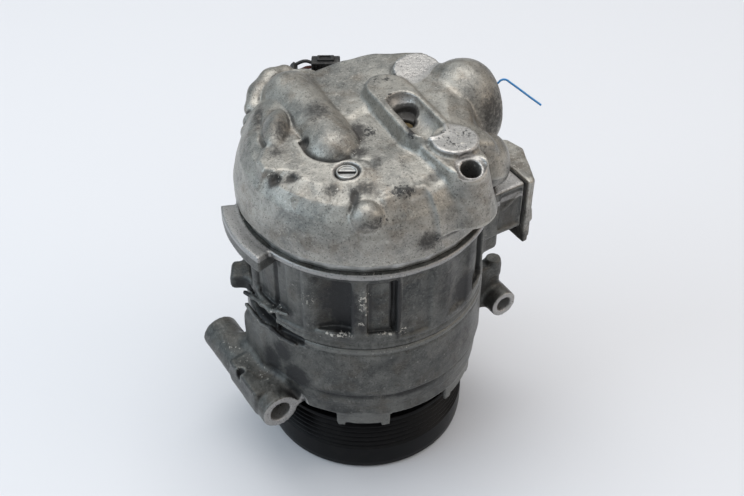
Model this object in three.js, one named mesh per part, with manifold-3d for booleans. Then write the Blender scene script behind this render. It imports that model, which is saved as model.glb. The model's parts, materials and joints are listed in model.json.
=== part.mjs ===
// Variable-displacement automotive air-conditioning compressor, six pistons, clutchless pulley.
// Millimetres. +Z runs along the drive shaft from the pulley to the rear head. The origin is the
// middle of the hub bolt's end face, level with the pulley's front face.
import * as THREE from 'three';
import { mergeVertices } from 'three/addons/utils/BufferGeometryUtils.js';
import Module from 'manifold-3d';

const wasm = await Module();
wasm.setup();

// ---- Driving dimensions ----------------------------------------------------------------------
const GAP = 0.3; // between pieces that touch
const CYLINDERS = 6;
const BORE_CIRCLE = 38; // radius of the circle through the cylinder axes
const BORE_R = 16.1;
const PISTON_R = 15.8;
const BOLT_CIRCLE = 53;
const BOLT_R = 3;
const BOLT_HOLE = 3.8;
const FIRST_BOLT = -90.6; // degrees about +Z
const FIRST_BORE = FIRST_BOLT + 180 / CYLINDERS;
const SECTOR = 360 / CYLINDERS;
const MOUNT_TURN = 31.8; // the mounting bolts' frame, turned about the shaft axis

const PULLEY = { r: 55, h: 39, rimR: 47, hubR: 30, boreR: 26.2, webLow: 12.4, webHigh: 18 };
const GROOVE = { pitch: 3.56, depth: 2.6, first: 16.4, count: 6, land: 0.5 };
const BEARING = { low: 15, high: 35, outer: 25.9, inner: 17.7, raceOut: 23.8, raceIn: 19.8 };
const NOSE = { r: 17.4, low: 12.9, high: 41, bore: 13.2, ledge: 16.1 };
const SKIRT = { r: 60.3, low: 50, inner: 56.6, top: 58 };
const TAB = { half: 13.5, low: 43.2, toothLow: 40.6, toothFrom: 9, toothTo: 13.3, inset: 0.4 };
const BOLT_HEAD = { low: 46, high: 50.9, r: 5, seatR: 6, seat: 51 };
const BODY_R = 62.2;
const CLEAR_R = 90; // outside everything but the mounts
const CRANK_R = 54.6;
const CRANK_FLOOR = 60;
const OIL_HOLE = 4;
const SEAM = 100.4; // front housing to cylinder block
const O_RING = { in: 57.5, out: 59.3, low: 98.6 };
const DECK = 106; // floor of the cylinder block's bores
const BLOCK_TOP = 151;
const FLANGE = { r: 63.5, low: 147.2 };
const POCKET = { low: 111, high: 144.5 };
const DEEP = { r: 57.2, from: -16.6, to: -5.4 }; // degrees from the bolt's angle
const SHALLOW = { r: 59.2, from: 0.5, to: 15.7 };
const HEAD_LOW = 156.5;
const HEAD_R = 63.8;
const PLATE_R = 61;

const SWASH = { z: 89, half: 3, r: 47, hubR: 16, hubLow: 81, hubHigh: 98 };
const SHOE_R = 8;
const SHAFT = { r: 9, low: 4.9, high: 131, boltR: 3.3, boltEnd: 22 };
const NECK = { r: 6, end: 12.2, sealR: 8, sealEnd: 28 };
const LUG = { low: 63.3, high: 70, r: 44, hubR: 14, hubHigh: 73 };
const LUG_ARM = { in: 19.5, out: 28.9, near: 6, far: 10, high: 83 };
const PIN = { r: 2.5, x: 24.5, z: 79, half: 10.6 };
const HINGE = { in: 19.8, out: 29, half: 5.6, low: 75 };

const TUBE = { x: -67, near: -25.9, far: 41.8, z: 50, r: 10, bore: 5.6 };
const TUBE_WEB = { in: -65, out: -56, near: -17.9, far: 26, low: 51.5, high: 59 };
const TUBE_WALL = { in: -63, out: -57, near: -6, far: 20, low: 52, high: 84 };
const EAR = { x: 72.4, near: -31.4, far: -13, z: 60, r: 7.9, bore: 4.4 };
const EAR_WEB = { in: 57, out: 75.4, near: -22.4, far: -14.4, low: 53, high: 84 };
const FLANGE_EAR = { in: 58, out: 71.3, from: -171, to: -134, low: 142 };
const SIDE_LUG = { low: [-69, -20, SEAM + 1.2], high: [-56, -6, 111] };
const MUFFLER = { in: 44, out: 67.5, near: -43.2, far: -6, low: 128, high: 156 };
const CHAMBER = { in: 57, out: MUFFLER.out + 1, near: -37.2, far: -12, low: 133, high: 151 };
const COVER = { lip: 4.8, depth: 16, low: 117, high: 156.6, rim: 1.4, wall: 5, dish: 5, gasket: 0.7 };

const rad = THREE.MathUtils.degToRad;

// ---- Materials -------------------------------------------------------------------------------
function finish(color, roughness, metalness) {
  return new THREE.MeshStandardMaterial({ color, roughness, metalness });
}
const HEAD_ALLOY = finish(0xa6a39b, 0.5, 0.7);
const CASE_ALLOY = finish(0x6f6f69, 0.55, 0.7);
const STEEL = finish(0xb4b6b8, 0.3, 0.95);
const DARK_STEEL = finish(0x50524f, 0.45, 0.9);
const PULLEY_PAINT = finish(0x15161a, 0.55, 0.2);
const RUBBER = finish(0x1a1a1a, 0.85, 0);
const GASKET = finish(0x2b2c2c, 0.7, 0.1);
const PISTON_ALLOY = finish(0xc2c3c0, 0.35, 0.8);
const BRASS = finish(0x9c7a45, 0.4, 0.9);
const CAST_IRON = finish(0x6a6862, 0.55, 0.85);
const CONNECTOR_PLASTIC = finish(0x101011, 0.5, 0);
const RED_WIRE = finish(0x5a2018, 0.5, 0);
const BLUE_WIRE = finish(0x2c6aa8, 0.45, 0);

// ---- Shape helpers ---------------------------------------------------------------------------
/** A closed manifold solid from a three.js geometry. */
function solid(geometry) {
  const bare = geometry.clone();
  bare.deleteAttribute('normal');
  bare.deleteAttribute('uv');
  const merged = mergeVertices(bare, 1e-3);
  const index = merged.index.array;
  const triangles = [];
  for (let i = 0; i < index.length; i += 3) {
    const [a, b, c] = [index[i], index[i + 1], index[i + 2]];
    if (a !== b && b !== c && c !== a) triangles.push(a, b, c);
  }
  return new wasm.Manifold(new wasm.Mesh({
    numProp: 3,
    vertProperties: Float32Array.from(merged.attributes.position.array),
    triVerts: Uint32Array.from(triangles),
  }));
}

/** A three.js geometry from a manifold solid. */
function geometryOf(shape) {
  const mesh = shape.getMesh();
  const geometry = new THREE.BufferGeometry();
  geometry.setAttribute('position', new THREE.BufferAttribute(mesh.vertProperties, 3));
  geometry.setIndex(new THREE.BufferAttribute(mesh.triVerts, 1));
  geometry.computeVertexNormals();
  return geometry;
}

const join = (...shapes) => shapes.reduce((sum, shape) => sum.add(shape));
const cut = (shape, ...tools) => tools.reduce((rest, tool) => rest.subtract(tool), shape);

/** A body turned about +Z from [radius, height] points listed anticlockwise. */
function turned(points, segments = 32) {
  const profile = points.map(([r, z]) => new THREE.Vector2(r, z));
  if (points[0][0] > 0 || points.at(-1)[0] > 0) profile.push(profile[0].clone());
  return solid(new THREE.LatheGeometry(profile, segments).rotateX(Math.PI / 2));
}

/** A ring from low to high, or a disc when its inner radius is 0. */
function ring(outer, inner, low, high, segments = 32) {
  if (inner === 0) return turned([[0, low], [outer, low], [outer, high], [0, high]], segments);
  return turned([[inner, low], [outer, low], [outer, high], [inner, high]], segments);
}

/** A cylinder between two points. */
function rod(from, to, radius, segments = 12) {
  const a = new THREE.Vector3(...from);
  const b = new THREE.Vector3(...to);
  const axis = b.clone().sub(a);
  const geometry = new THREE.CylinderGeometry(radius, radius, axis.length(), segments);
  geometry.applyQuaternion(new THREE.Quaternion().setFromUnitVectors(
    new THREE.Vector3(0, 1, 0), axis.clone().normalize()));
  const middle = a.add(b).multiplyScalar(0.5);
  return solid(geometry.translate(middle.x, middle.y, middle.z));
}

/** A box from its lowest to its highest corner. */
function box(low, high) {
  const size = high.map((value, i) => value - low[i]);
  const middle = high.map((value, i) => (value + low[i]) / 2);
  return solid(new THREE.BoxGeometry(...size).translate(...middle));
}

/** A box from the in, near and low sides of a block to its out, far and high sides. */
const between = (block) => box([block.in, block.near, block.low], [block.out, block.far, block.high]);

/** A cylinder along a mounting barrel, longer by extra at each end. */
const lengthwise = (barrel, radius, segments, extra = 0) => rod(
  [barrel.x, barrel.near - extra, barrel.z], [barrel.x, barrel.far + extra, barrel.z], radius, segments);

/** An egg-shaped boss. */
function egg(centre, radii, turn = 0, across = 12, down = 6) {
  const geometry = new THREE.SphereGeometry(1, across, down).scale(...radii);
  return solid(geometry.rotateZ(rad(turn)).translate(...centre));
}

/** A block between two radii and two angles about +Z. */
function arcBlock(inner, outer, from, to, low, high, steps = 2) {
  const shape = new THREE.Shape();
  shape.absarc(0, 0, outer, rad(from), rad(to), false);
  shape.absarc(0, 0, inner, rad(to), rad(from), true);
  const geometry = new THREE.ExtrudeGeometry(shape, {
    depth: high - low, bevelEnabled: false, curveSegments: steps, steps: 1,
  });
  return solid(geometry.translate(0, 0, low));
}

/** A plate with the outline of the given points, standing from low to high. */
function plate(points, low, high) {
  const shape = new THREE.Shape(points.map(([x, y]) => new THREE.Vector2(x, y)));
  const geometry = new THREE.ExtrudeGeometry(shape, { depth: high - low, bevelEnabled: false });
  return solid(geometry.translate(0, 0, low));
}

/** A bar with round ends, seen from above, between two points. */
function stadium([ax, ay], [bx, by], radius, low, high) {
  const along = Math.atan2(by - ay, bx - ax);
  const shape = new THREE.Shape();
  shape.absarc(ax, ay, radius, along + Math.PI / 2, along + Math.PI * 1.5, false);
  shape.absarc(bx, by, radius, along - Math.PI / 2, along + Math.PI / 2, false);
  const geometry = new THREE.ExtrudeGeometry(shape, {
    depth: high - low, bevelEnabled: false, curveSegments: 8,
  });
  return solid(geometry.translate(0, 0, low));
}

/** A round wire along hand-placed points. */
function wire(points, radius, steps, sides = 8) {
  const section = new THREE.Shape();
  for (let i = 0; i < sides; i += 1) {
    const angle = (i / sides) * Math.PI * 2;
    const spot = [radius * Math.cos(angle), radius * Math.sin(angle)];
    if (i === 0) section.moveTo(...spot);
    else section.lineTo(...spot);
  }
  const path = new THREE.CatmullRomCurve3(points.map((point) => new THREE.Vector3(...point)));
  return solid(new THREE.ExtrudeGeometry(section, { steps, bevelEnabled: false, extrudePath: path }));
}

const turnedTo = (shape, degrees) => solid(geometryOf(shape).rotateZ(rad(degrees)));
const around = (make, count = CYLINDERS) => Array.from({ length: count }, (_, i) => make(i));
const boltAngle = (i) => FIRST_BOLT + i * SECTOR;
const boreAngle = (i) => FIRST_BORE + i * SECTOR;
/** Copies of a shape built at angle 0, one at each bolt or bore. */
const atBolts = (shape) => around((i) => turnedTo(shape, boltAngle(i)));
const atBores = (shape) => around((i) => turnedTo(shape, boreAngle(i)));
const polar = (radius, degrees) => [radius * Math.cos(rad(degrees)), radius * Math.sin(rad(degrees))];

// ---- The assembly ----------------------------------------------------------------------------
const compressor = new THREE.Group();
compressor.name = 'ac_compressor';
const housing = new THREE.Group();
const rotating = new THREE.Group();
compressor.add(housing, rotating);

function addPiece(group, name, shape, material) {
  const mesh = new THREE.Mesh(geometryOf(shape), material);
  mesh.name = name;
  group.add(mesh);
  return mesh;
}

const boltHole = rod([BOLT_CIRCLE, 0, TAB.toothLow - 1], [BOLT_CIRCLE, 0, HEAD_LOW + 17], BOLT_HOLE, 6);

// ---- Front housing: nose, split skirt, crank chamber, mounting tube and ear ----------------------
function frontHousing() {
  const shell = turned([
    [NOSE.bore, NOSE.low], [NOSE.ledge, NOSE.low], [NOSE.ledge, 14.8], [NOSE.r, 14.8],
    [NOSE.r, NOSE.high], [23, 44.5], [SKIRT.inner, SKIRT.low], [SKIRT.r, SKIRT.low], [SKIRT.r, SKIRT.top],
    [BODY_R, SKIRT.top + 1], [BODY_R, SEAM],
    [O_RING.out + GAP, SEAM], [O_RING.out + GAP, O_RING.low - GAP], [O_RING.in - GAP, O_RING.low - GAP],
    [O_RING.in - GAP, SEAM], [CRANK_R, SEAM], [CRANK_R, 65], [48, CRANK_FLOOR], [NOSE.bore, CRANK_FLOOR],
  ]);
  const [tabIn, tabOut] = [SKIRT.inner + TAB.inset, SKIRT.r - TAB.inset];
  const tooth = (from, to) => arcBlock(tabIn + 0.1, tabOut - 0.1, from, to, TAB.toothLow, TAB.low + 1, 1);
  const tab = join(
    arcBlock(tabIn, tabOut, -TAB.half, TAB.half, TAB.low, SKIRT.low + 1),
    tooth(-TAB.toothTo, -TAB.toothFrom),
    tooth(TAB.toothFrom, TAB.toothTo),
  );
  const tube = join(lengthwise(TUBE, TUBE.r, 20), between(TUBE_WEB), between(TUBE_WALL));
  const ear = join(lengthwise(EAR, EAR.r, 16), between(EAR_WEB));
  const mounts = turnedTo(join(tube, ear), MOUNT_TURN);
  const mountBores = turnedTo(
    join(lengthwise(TUBE, TUBE.bore, 12, 1), lengthwise(EAR, EAR.bore, 12, 1)), MOUNT_TURN);
  const belowTabs = [BOLT_CIRCLE, 0, TAB.toothLow - 1];
  const headSeat = rod(belowTabs, [BOLT_CIRCLE, 0, BOLT_HEAD.seat], BOLT_HEAD.seatR, 6);
  return cut(join(shell, ...atBolts(tab), mounts), mountBores, ...atBolts(boltHole), ...atBolts(headSeat));
}
addPiece(housing, 'front_housing', frontHousing(), CASE_ALLOY);

// ---- Cylinder block: bores, ribs and pockets, flange ear and muffler block -----------------------
function cylinderBlock() {
  const shell = turned([
    [0, SEAM + 0.1], [BODY_R - 0.5, SEAM + 0.1], [BODY_R, SEAM + 1], [BODY_R, FLANGE.low],
    [FLANGE.r, FLANGE.low + 0.6], [FLANGE.r, BLOCK_TOP], [0, BLOCK_TOP],
  ]);
  const pockets = join(
    arcBlock(DEEP.r, CLEAR_R, DEEP.from, DEEP.to, POCKET.low, POCKET.high),
    arcBlock(SHALLOW.r, CLEAR_R, SHALLOW.from, SHALLOW.to, POCKET.low, POCKET.high),
  );
  const flangeEar = arcBlock(FLANGE_EAR.in, FLANGE_EAR.out, FLANGE_EAR.from, FLANGE_EAR.to,
    FLANGE_EAR.low, BLOCK_TOP, 5);
  const sideLug = box(SIDE_LUG.low, SIDE_LUG.high);
  const muffler = turnedTo(between(MUFFLER), MOUNT_TURN);
  const mufflerChamber = turnedTo(between(CHAMBER), MOUNT_TURN);
  const headRoom = ring(HEAD_R + 2 * GAP, 0, BLOCK_TOP, MUFFLER.high + 1);
  const bore = rod([BORE_CIRCLE, 0, SEAM - 1], [BORE_CIRCLE, 0, BLOCK_TOP + 1], BORE_R, 20);
  const body = cut(shell, ...atBolts(pockets), ring(CRANK_R, 0, SEAM - 1, DECK));
  return cut(join(body, flangeEar, sideLug, muffler), mufflerChamber, headRoom,
    ring(NOSE.bore, 0, SEAM - 1, SHAFT.high + 2, 24),
    rod([0, 0, SHAFT.high - 1], [0, 0, BLOCK_TOP + 1], OIL_HOLE, 12),
    ...atBores(bore), ...atBolts(boltHole));
}
addPiece(housing, 'cylinder_block', cylinderBlock(), CASE_ALLOY);

// ---- Muffler cover and its gasket, on the block's side --------------------------------------------
const gasketFace = MUFFLER.out + 0.2;
const coverFace = gasketFace + COVER.gasket + 0.2;

/** The domed cover: a bevelled outline seen along the shaft, dished on the side that meets the block. */
function mufflerCover() {
  const [near, far] = [MUFFLER.near - COVER.rim, MUFFLER.far + 2 * COVER.rim];
  const outer = coverFace + COVER.depth;
  const outline = [
    [coverFace, near], [coverFace + COVER.lip, near], [outer, near + 23.6], [outer - 2, far - 5],
    [outer - 7.6, far], [coverFace, far],
  ];
  const dish = box([coverFace - 1, MUFFLER.near + COVER.wall, COVER.low + COVER.wall],
    [coverFace + COVER.dish, MUFFLER.far - COVER.wall, COVER.high - COVER.wall]);
  return turnedTo(cut(plate(outline, COVER.low, COVER.high), dish), MOUNT_TURN);
}
const gasketSheet = box([gasketFace, MUFFLER.near + 0.4, MUFFLER.low + 0.4],
  [gasketFace + COVER.gasket, MUFFLER.far - 0.4, MUFFLER.high - 0.4]);
const gasketWindow = between({ ...CHAMBER, in: gasketFace - 1, out: gasketFace + 2 });
addPiece(housing, 'muffler_gasket', turnedTo(cut(gasketSheet, gasketWindow), MOUNT_TURN), GASKET);
addPiece(housing, 'muffler_cover', mufflerCover(), HEAD_ALLOY);

// ---- Rear head: dome, port ridge, bulges, chambers and bores --------------------------------------
const PORT_1 = [19.7, 1.3];
const PORT_2_BOSS = { from: [46.4, -30.4, 172], to: [48.4, -37.4, 191.5], r: 9 };
const PORT_2_BORE = { from: [45.4, -26.4, 168], to: [49.4, -40.4, 200] };
const PAD = [41.9, -21.5];
const LOW_PAD = [27.4, 40.8];
const PAD_R = 11.5;
const PAD_HEIGHT = 198;
const LOW_PAD_HEIGHT = 196;
const FLAT_TOP = 194;
const RIM_TOP = 166; // the head's turned rim ends here
const ROOM = { outer: 57, inner: 31, centre: 26, post: 7, top: 176 };
const CLEAR = 205; // above everything on the head
const RIDGE = { top: [10.8, 19.6], middle: [28.2, -8.4], end: [45.7, -32.9], r: 11, high: 199 };
const SLOT = { end: [30.5, -13], r: 6.2, floor: 191 };
const PLUG = [-7.5, -35.5];
const PLUG_SIZE = { r: 5, low: 176.3, high: 191.4, slotHalf: 3.6, slotWide: 0.6, slotFloor: 189.6 };
const PORT_R = 4.8;
const SEAT = { z: 184, r: 3 };
const VALVE = { x: -31, z: 172, r: 8.2, low: 8, split: 43, back: 60, solenoidR: 10 };
const WIRE_EXIT = [61, 38.5, 181.5];
const WIRE_KNEE = [67.9, 40, 187.5];

function rearHead() {
  const dome = turned([
    [0, HEAD_LOW], [HEAD_R, HEAD_LOW], [HEAD_R, 165], [63, 170], [61.4, 176], [58.4, 182], [53.5, 187],
    [46, 190.5], [0, 192.5],
  ]);
  const bulges = join(
    rod([-37, 38, 181], [-13, -4, 181], 16, 14),
    egg([-12.5, -5, 180], [15.5, 15.5, 16.5], MOUNT_TURN),
    egg([-37, 38, 181], [16, 15, 16]),
    egg([-38, 16, 173], [20, 30, 25.5]),
    rod([VALVE.x, 20, VALVE.z], [VALVE.x, VALVE.back - 2, VALVE.z], 15, 14),
    egg([46, 31, 175], [22, 22, 28]),
    egg([58, -6, 172], [12, 14, 16]),
    egg([22, 42, 172], [26, 20, 24]),
    egg([1.5, -52, 178], [9, 8, 9]),
    egg([-37, -20, 172], [19, 24, 19]),
  );
  const ridge = join(
    stadium(RIDGE.top, RIDGE.end, RIDGE.r + 1, 170, RIDGE.high - 5),
    stadium(RIDGE.top, RIDGE.middle, RIDGE.r, 180, RIDGE.high),
    rod([...PAD, 185], [...PAD, PAD_HEIGHT], PAD_R, 16),
    rod([...LOW_PAD, 185], [...LOW_PAD, LOW_PAD_HEIGHT], PAD_R, 16),
    rod(PORT_2_BOSS.from, PORT_2_BOSS.to, PORT_2_BOSS.r, 16),
  );
  const flatTop = plate([[-27, 46], [-4, 8], [14, 4], [38, 44], [30, 50], [4, 56]], 175, FLAT_TOP);
  const outside = join(dome, bulges, ridge, flatTop).intersect(ring(74, 0, HEAD_LOW, 205));
  const foot = cut(ring(CLEAR_R, 0, HEAD_LOW - 1, RIM_TOP), ring(HEAD_R, 0, HEAD_LOW - 2, RIM_TOP + 1));
  const postR = BOLT_CIRCLE + 1;
  const boltPost = rod([postR, 0, HEAD_LOW - 2], [postR, 0, ROOM.top + 2], ROOM.post, 12);
  const suctionRoom = cut(ring(ROOM.outer, ROOM.inner, HEAD_LOW - 1, ROOM.top), ...atBolts(boltPost));
  const dischargeRoom = ring(ROOM.centre, 0, HEAD_LOW - 1, ROOM.top + 2, 24);
  const valveEnd = [VALVE.x, VALVE.back + 20, VALVE.z];
  return cut(outside, foot, suctionRoom, dischargeRoom,
    rod([...PORT_1, ROOM.top], [...PORT_1, CLEAR], SEAT.r, 10),
    rod([...PORT_1, SEAT.z], [...PORT_1, CLEAR], PORT_R, 14),
    rod(PORT_2_BORE.from, PORT_2_BORE.to, PORT_R, 14),
    rod([...PLUG, ROOM.top], [...PLUG, CLEAR], PLUG_SIZE.r + GAP + 0.1, 14),
    stadium(PORT_1, SLOT.end, SLOT.r, SLOT.floor, CLEAR),
    rod([VALVE.x, 2, VALVE.z], valveEnd, VALVE.r, 12),
    rod([VALVE.x, VALVE.split, VALVE.z], valveEnd, VALVE.solenoidR + 2 * GAP, 14),
    rod(WIRE_EXIT, WIRE_KNEE, 1, 8),
    ...atBolts(boltHole));
}
addPiece(housing, 'rear_head', rearHead(), HEAD_ALLOY);

// ---- Plug, control valve, check valve and wiring on the rear head ---------------------------------
const plugSlot = box(
  [PLUG[0] - PLUG_SIZE.slotHalf, PLUG[1] - PLUG_SIZE.slotWide, PLUG_SIZE.slotFloor],
  [PLUG[0] + PLUG_SIZE.slotHalf, PLUG[1] + PLUG_SIZE.slotWide, PLUG_SIZE.high + 1]);
const plugBody = rod([...PLUG, PLUG_SIZE.low], [...PLUG, PLUG_SIZE.high], PLUG_SIZE.r, 14);
addPiece(housing, 'slotted_plug', cut(plugBody, plugSlot), STEEL);

const valveAt = (y) => [VALVE.x, y, VALVE.z];
const ROD_R = 2.2;
const ROD_ENDS = [10, 50];
const rodBore = rod(valveAt(VALVE.low), valveAt(ROD_ENDS[1] + 2), ROD_R + GAP, 10);
const valveBarrel = rod(valveAt(VALVE.low + 6), valveAt(VALVE.split - GAP), VALVE.r - 2 * GAP, 12);
addPiece(housing, 'control_valve_body', cut(valveBarrel, rodBore), BRASS);
const solenoidCase = rod(valveAt(VALVE.split + 0.1), valveAt(VALVE.back), VALVE.solenoidR, 14);
const wireBoot = box([-38, 58, 177], [-34.6, 67, 184.6]);
addPiece(housing, 'valve_solenoid', cut(join(solenoidCase, wireBoot), rodBore), CONNECTOR_PLASTIC);
const valveRod = new THREE.Group();
const poppetGroup = new THREE.Group();
compressor.add(valveRod, poppetGroup);
addPiece(valveRod, 'control_valve_rod', rod(valveAt(ROD_ENDS[0]), valveAt(ROD_ENDS[1]), ROD_R, 10), STEEL);
addPiece(poppetGroup, 'check_valve_poppet',
  rod([...PORT_1, SEAT.z + 0.1], [...PORT_1, SEAT.z + 3.6], PORT_R - 0.4, 12), BRASS);

const connector = join(
  box([-27, 62.6, 177.4], [-12, 70.4, 185.4]),
  box([-24, 63.6, 185], [-15, 69.4, 186.6]),
);
addPiece(housing, 'wiring_connector', connector, CONNECTOR_PLASTIC);
const LEAD_R = 0.9;
const blackRoute = [[-27.3, 66, 183.6], [-29.6, 66.2, 184.2], [-32, 66.2, 184], [-34.3, 66, 183]];
const redRoute = [[-27.3, 66, 180.9], [-29.6, 66.2, 180.4], [-32, 66.2, 179.2], [-34.3, 66, 178.4]];
addPiece(housing, 'black_wire', wire(blackRoute, LEAD_R, 6), RUBBER);
addPiece(housing, 'red_wire', wire(redRoute, LEAD_R, 6), RED_WIRE);
addPiece(housing, 'blue_wire', wire([
  WIRE_EXIT, [64.5, 39.3, 184.6], WIRE_KNEE, [69.6, 40, 189.3], [71.6, 40, 189.5], [74, 40, 187.8],
  [78.5, 40, 184.2], [84.7, 40, 179.1], [90.9, 40, 174.1]], 0.55, 16), BLUE_WIRE);

// ---- Valve plates between the block and the head --------------------------------------------------
/** A round plate of the stack with bolt holes, less the given openings. */
function stackPlate(low, high, ...openings) {
  return cut(ring(PLATE_R, 0, low, high, 24), ...atBolts(rod([BOLT_CIRCLE, 0, low - 1],
    [BOLT_CIRCLE, 0, high + 1], BOLT_HOLE, 6)), ...openings);
}
const portHoles = (radius, size) => atBores(
  rod([radius, 0, BLOCK_TOP - 1], [radius, 0, HEAD_LOW + 1], size, 6));
const DISCHARGE = { circle: 29, r: 3, reedR: 2.6 };
const SUCTION = { circle: 44, r: 3.4, gasketR: 5 };
const STACK = {
  suction: [151.1, 151.7], plate: [151.9, 154.9], discharge: [155, 155.5], gasket: [155.7, 156.3],
};
addPiece(housing, 'suction_reed_plate',
  stackPlate(...STACK.suction, ...portHoles(DISCHARGE.circle, DISCHARGE.reedR)), STEEL);
addPiece(housing, 'valve_plate', stackPlate(...STACK.plate,
  ...portHoles(DISCHARGE.circle, DISCHARGE.r), ...portHoles(SUCTION.circle, SUCTION.r)), STEEL);
addPiece(housing, 'discharge_reed_plate',
  stackPlate(...STACK.discharge, ...portHoles(SUCTION.circle, SUCTION.r)), STEEL);
addPiece(housing, 'head_gasket', stackPlate(...STACK.gasket,
  ring(ROOM.centre + 0.5, 0, HEAD_LOW - 2, HEAD_LOW + 1, 24),
  ...portHoles(SUCTION.circle, SUCTION.gasketR)), GASKET);
addPiece(housing, 'crankcase_o_ring', ring(O_RING.out, O_RING.in, O_RING.low, SEAM - 0.1), RUBBER);

// ---- Through bolts ------------------------------------------------------------------------------
around((i) => {
  const bolt = join(
    rod([0, 0, BOLT_HEAD.high - 0.1], [0, 0, HEAD_LOW + 16], BOLT_R, 10),
    rod([0, 0, BOLT_HEAD.low], [0, 0, BOLT_HEAD.high], BOLT_HEAD.r, 6),
  );
  const mesh = addPiece(housing, `through_bolt_${i + 1}`, bolt, STEEL);
  mesh.position.set(...polar(BOLT_CIRCLE, boltAngle(i)), 0);
});

// ---- Pistons and their shoes ----------------------------------------------------------------------
const PISTON = { low: 75, high: 148.3, slotHalf: 6, innerFace: -7, half: 10.5, skirt: 117 };
const wide = 20; // past the piston on every side
const socketR = SHOE_R + 0.7;
const pistonShape = cut(
  rod([0, 0, PISTON.low], [0, 0, PISTON.high], PISTON_R, 20),
  box([-wide, -wide, SWASH.z - PISTON.slotHalf],
    [SWASH.r - BORE_CIRCLE + 2 * GAP, wide, SWASH.z + PISTON.slotHalf]),
  box([-wide, -wide, PISTON.low - 1], [PISTON.innerFace, wide, SWASH.hubHigh]),
  box([-wide, PISTON.half, PISTON.low - 1], [wide, wide, PISTON.skirt]),
  box([-wide, -wide, PISTON.low - 1], [wide, -PISTON.half, PISTON.skirt]),
  egg([0, 0, SWASH.z], [socketR, socketR, socketR], 0, 12, 8),
);
/** A half-ball shoe whose flat side rubs the plate; side is 1 above the plate and -1 below. */
function shoe(side) {
  const flat = SWASH.half + 0.2;
  const steps = 3;
  const start = Math.asin(flat / SHOE_R);
  const arc = around((i) => {
    const angle = start + ((Math.PI / 2 - start) * i) / steps;
    return [i === steps ? 0 : SHOE_R * Math.cos(angle), SHOE_R * Math.sin(angle)];
  }, steps + 1);
  const shape = turned([[0, flat], ...arc], 8);
  return side > 0 ? shape : solid(geometryOf(shape).rotateX(Math.PI));
}
around((i) => {
  const place = polar(BORE_CIRCLE, boreAngle(i));
  const piston = addPiece(housing, `piston_${i + 1}`, pistonShape, PISTON_ALLOY);
  piston.position.set(...place, 0);
  piston.rotation.z = rad(boreAngle(i));
  for (const [side, label] of [[1, 'upper'], [-1, 'lower']]) {
    const mesh = addPiece(housing, `shoe_${i + 1}_${label}`, shoe(side), DARK_STEEL);
    mesh.position.set(...place, SWASH.z);
  }
});

// ---- Shaft, lug plate, swash plate and spring -------------------------------------------------------
addPiece(rotating, 'drive_shaft', turned([
  [SHAFT.boltR, SHAFT.low], [NECK.r, SHAFT.low], [NECK.r, NECK.end],
  [NECK.sealR, NECK.end], [NECK.sealR, NECK.sealEnd], [SHAFT.r, NECK.sealEnd + 1],
  [SHAFT.r, SHAFT.high - 1], [SHAFT.r - 1, SHAFT.high], [0, SHAFT.high], [0, SHAFT.boltEnd],
  [SHAFT.boltR, SHAFT.boltEnd - 1],
], 18), STEEL);
const pinAt = (y) => [PIN.x, y, PIN.z];
const pinHole = rod(pinAt(-LUG_ARM.far - 4), pinAt(LUG_ARM.far + 4), PIN.r + GAP, 10);
const shaftBore = (low, high) => ring(SHAFT.r + 2 * GAP, 0, low - 1, high + 1, 18);
const lugArm = box([LUG_ARM.in, LUG_ARM.near, LUG.high - 1], [LUG_ARM.out, LUG_ARM.far, LUG_ARM.high]);
const otherArm = box([LUG_ARM.in, -LUG_ARM.far, LUG.high - 1], [LUG_ARM.out, -LUG_ARM.near, LUG_ARM.high]);
addPiece(rotating, 'lug_plate', cut(
  join(ring(LUG.r, SHAFT.r, LUG.low, LUG.high, 24), ring(LUG.hubR, SHAFT.r, LUG.high - 1, LUG.hubHigh, 12),
    lugArm, otherArm),
  pinHole, shaftBore(LUG.low, LUG.hubHigh)), CAST_IRON);
addPiece(rotating, 'swash_plate', cut(
  join(ring(SWASH.r, SHAFT.r, SWASH.z - SWASH.half, SWASH.z + SWASH.half, 28),
    ring(SWASH.hubR, SHAFT.r, SWASH.hubLow, SWASH.hubHigh, 14),
    box([HINGE.in, -HINGE.half, HINGE.low], [HINGE.out, HINGE.half, SWASH.z])),
  pinHole, shaftBore(SWASH.hubLow, SWASH.hubHigh)), CAST_IRON);
addPiece(rotating, 'hinge_pin', rod(pinAt(-PIN.half), pinAt(PIN.half), PIN.r, 10), STEEL);
const SPRING = { r: 11.2, wire: 0.8, low: 74.1, high: 79.9, turns: 2.5, perTurn: 12 };
const coil = around((i) => {
  const share = i / (SPRING.turns * SPRING.perTurn);
  const angle = share * SPRING.turns * 360;
  return [...polar(SPRING.r, angle), THREE.MathUtils.lerp(SPRING.low, SPRING.high, share)];
}, SPRING.turns * SPRING.perTurn + 1);
addPiece(rotating, 'destroke_spring', wire(coil, SPRING.wire, SPRING.turns * SPRING.perTurn, 5), STEEL);

// ---- Seals and rolling bearings -----------------------------------------------------------------------
addPiece(housing, 'shaft_seal', turned([
  [8.4, 20], [9.4, 17], [12.9, 17], [12.9, 25], [11.9, 25], [11.4, 18.6],
], 18), RUBBER);

const ROLLERS = 8; // in each rolling bearing
const CAGE_HALF = 0.6;
/** Copies of a rolling element built at angle 0, evenly round the shaft. */
const rollersOf = (element) => around((i) => turnedTo(element, (i * 360) / ROLLERS), ROLLERS);

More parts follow.
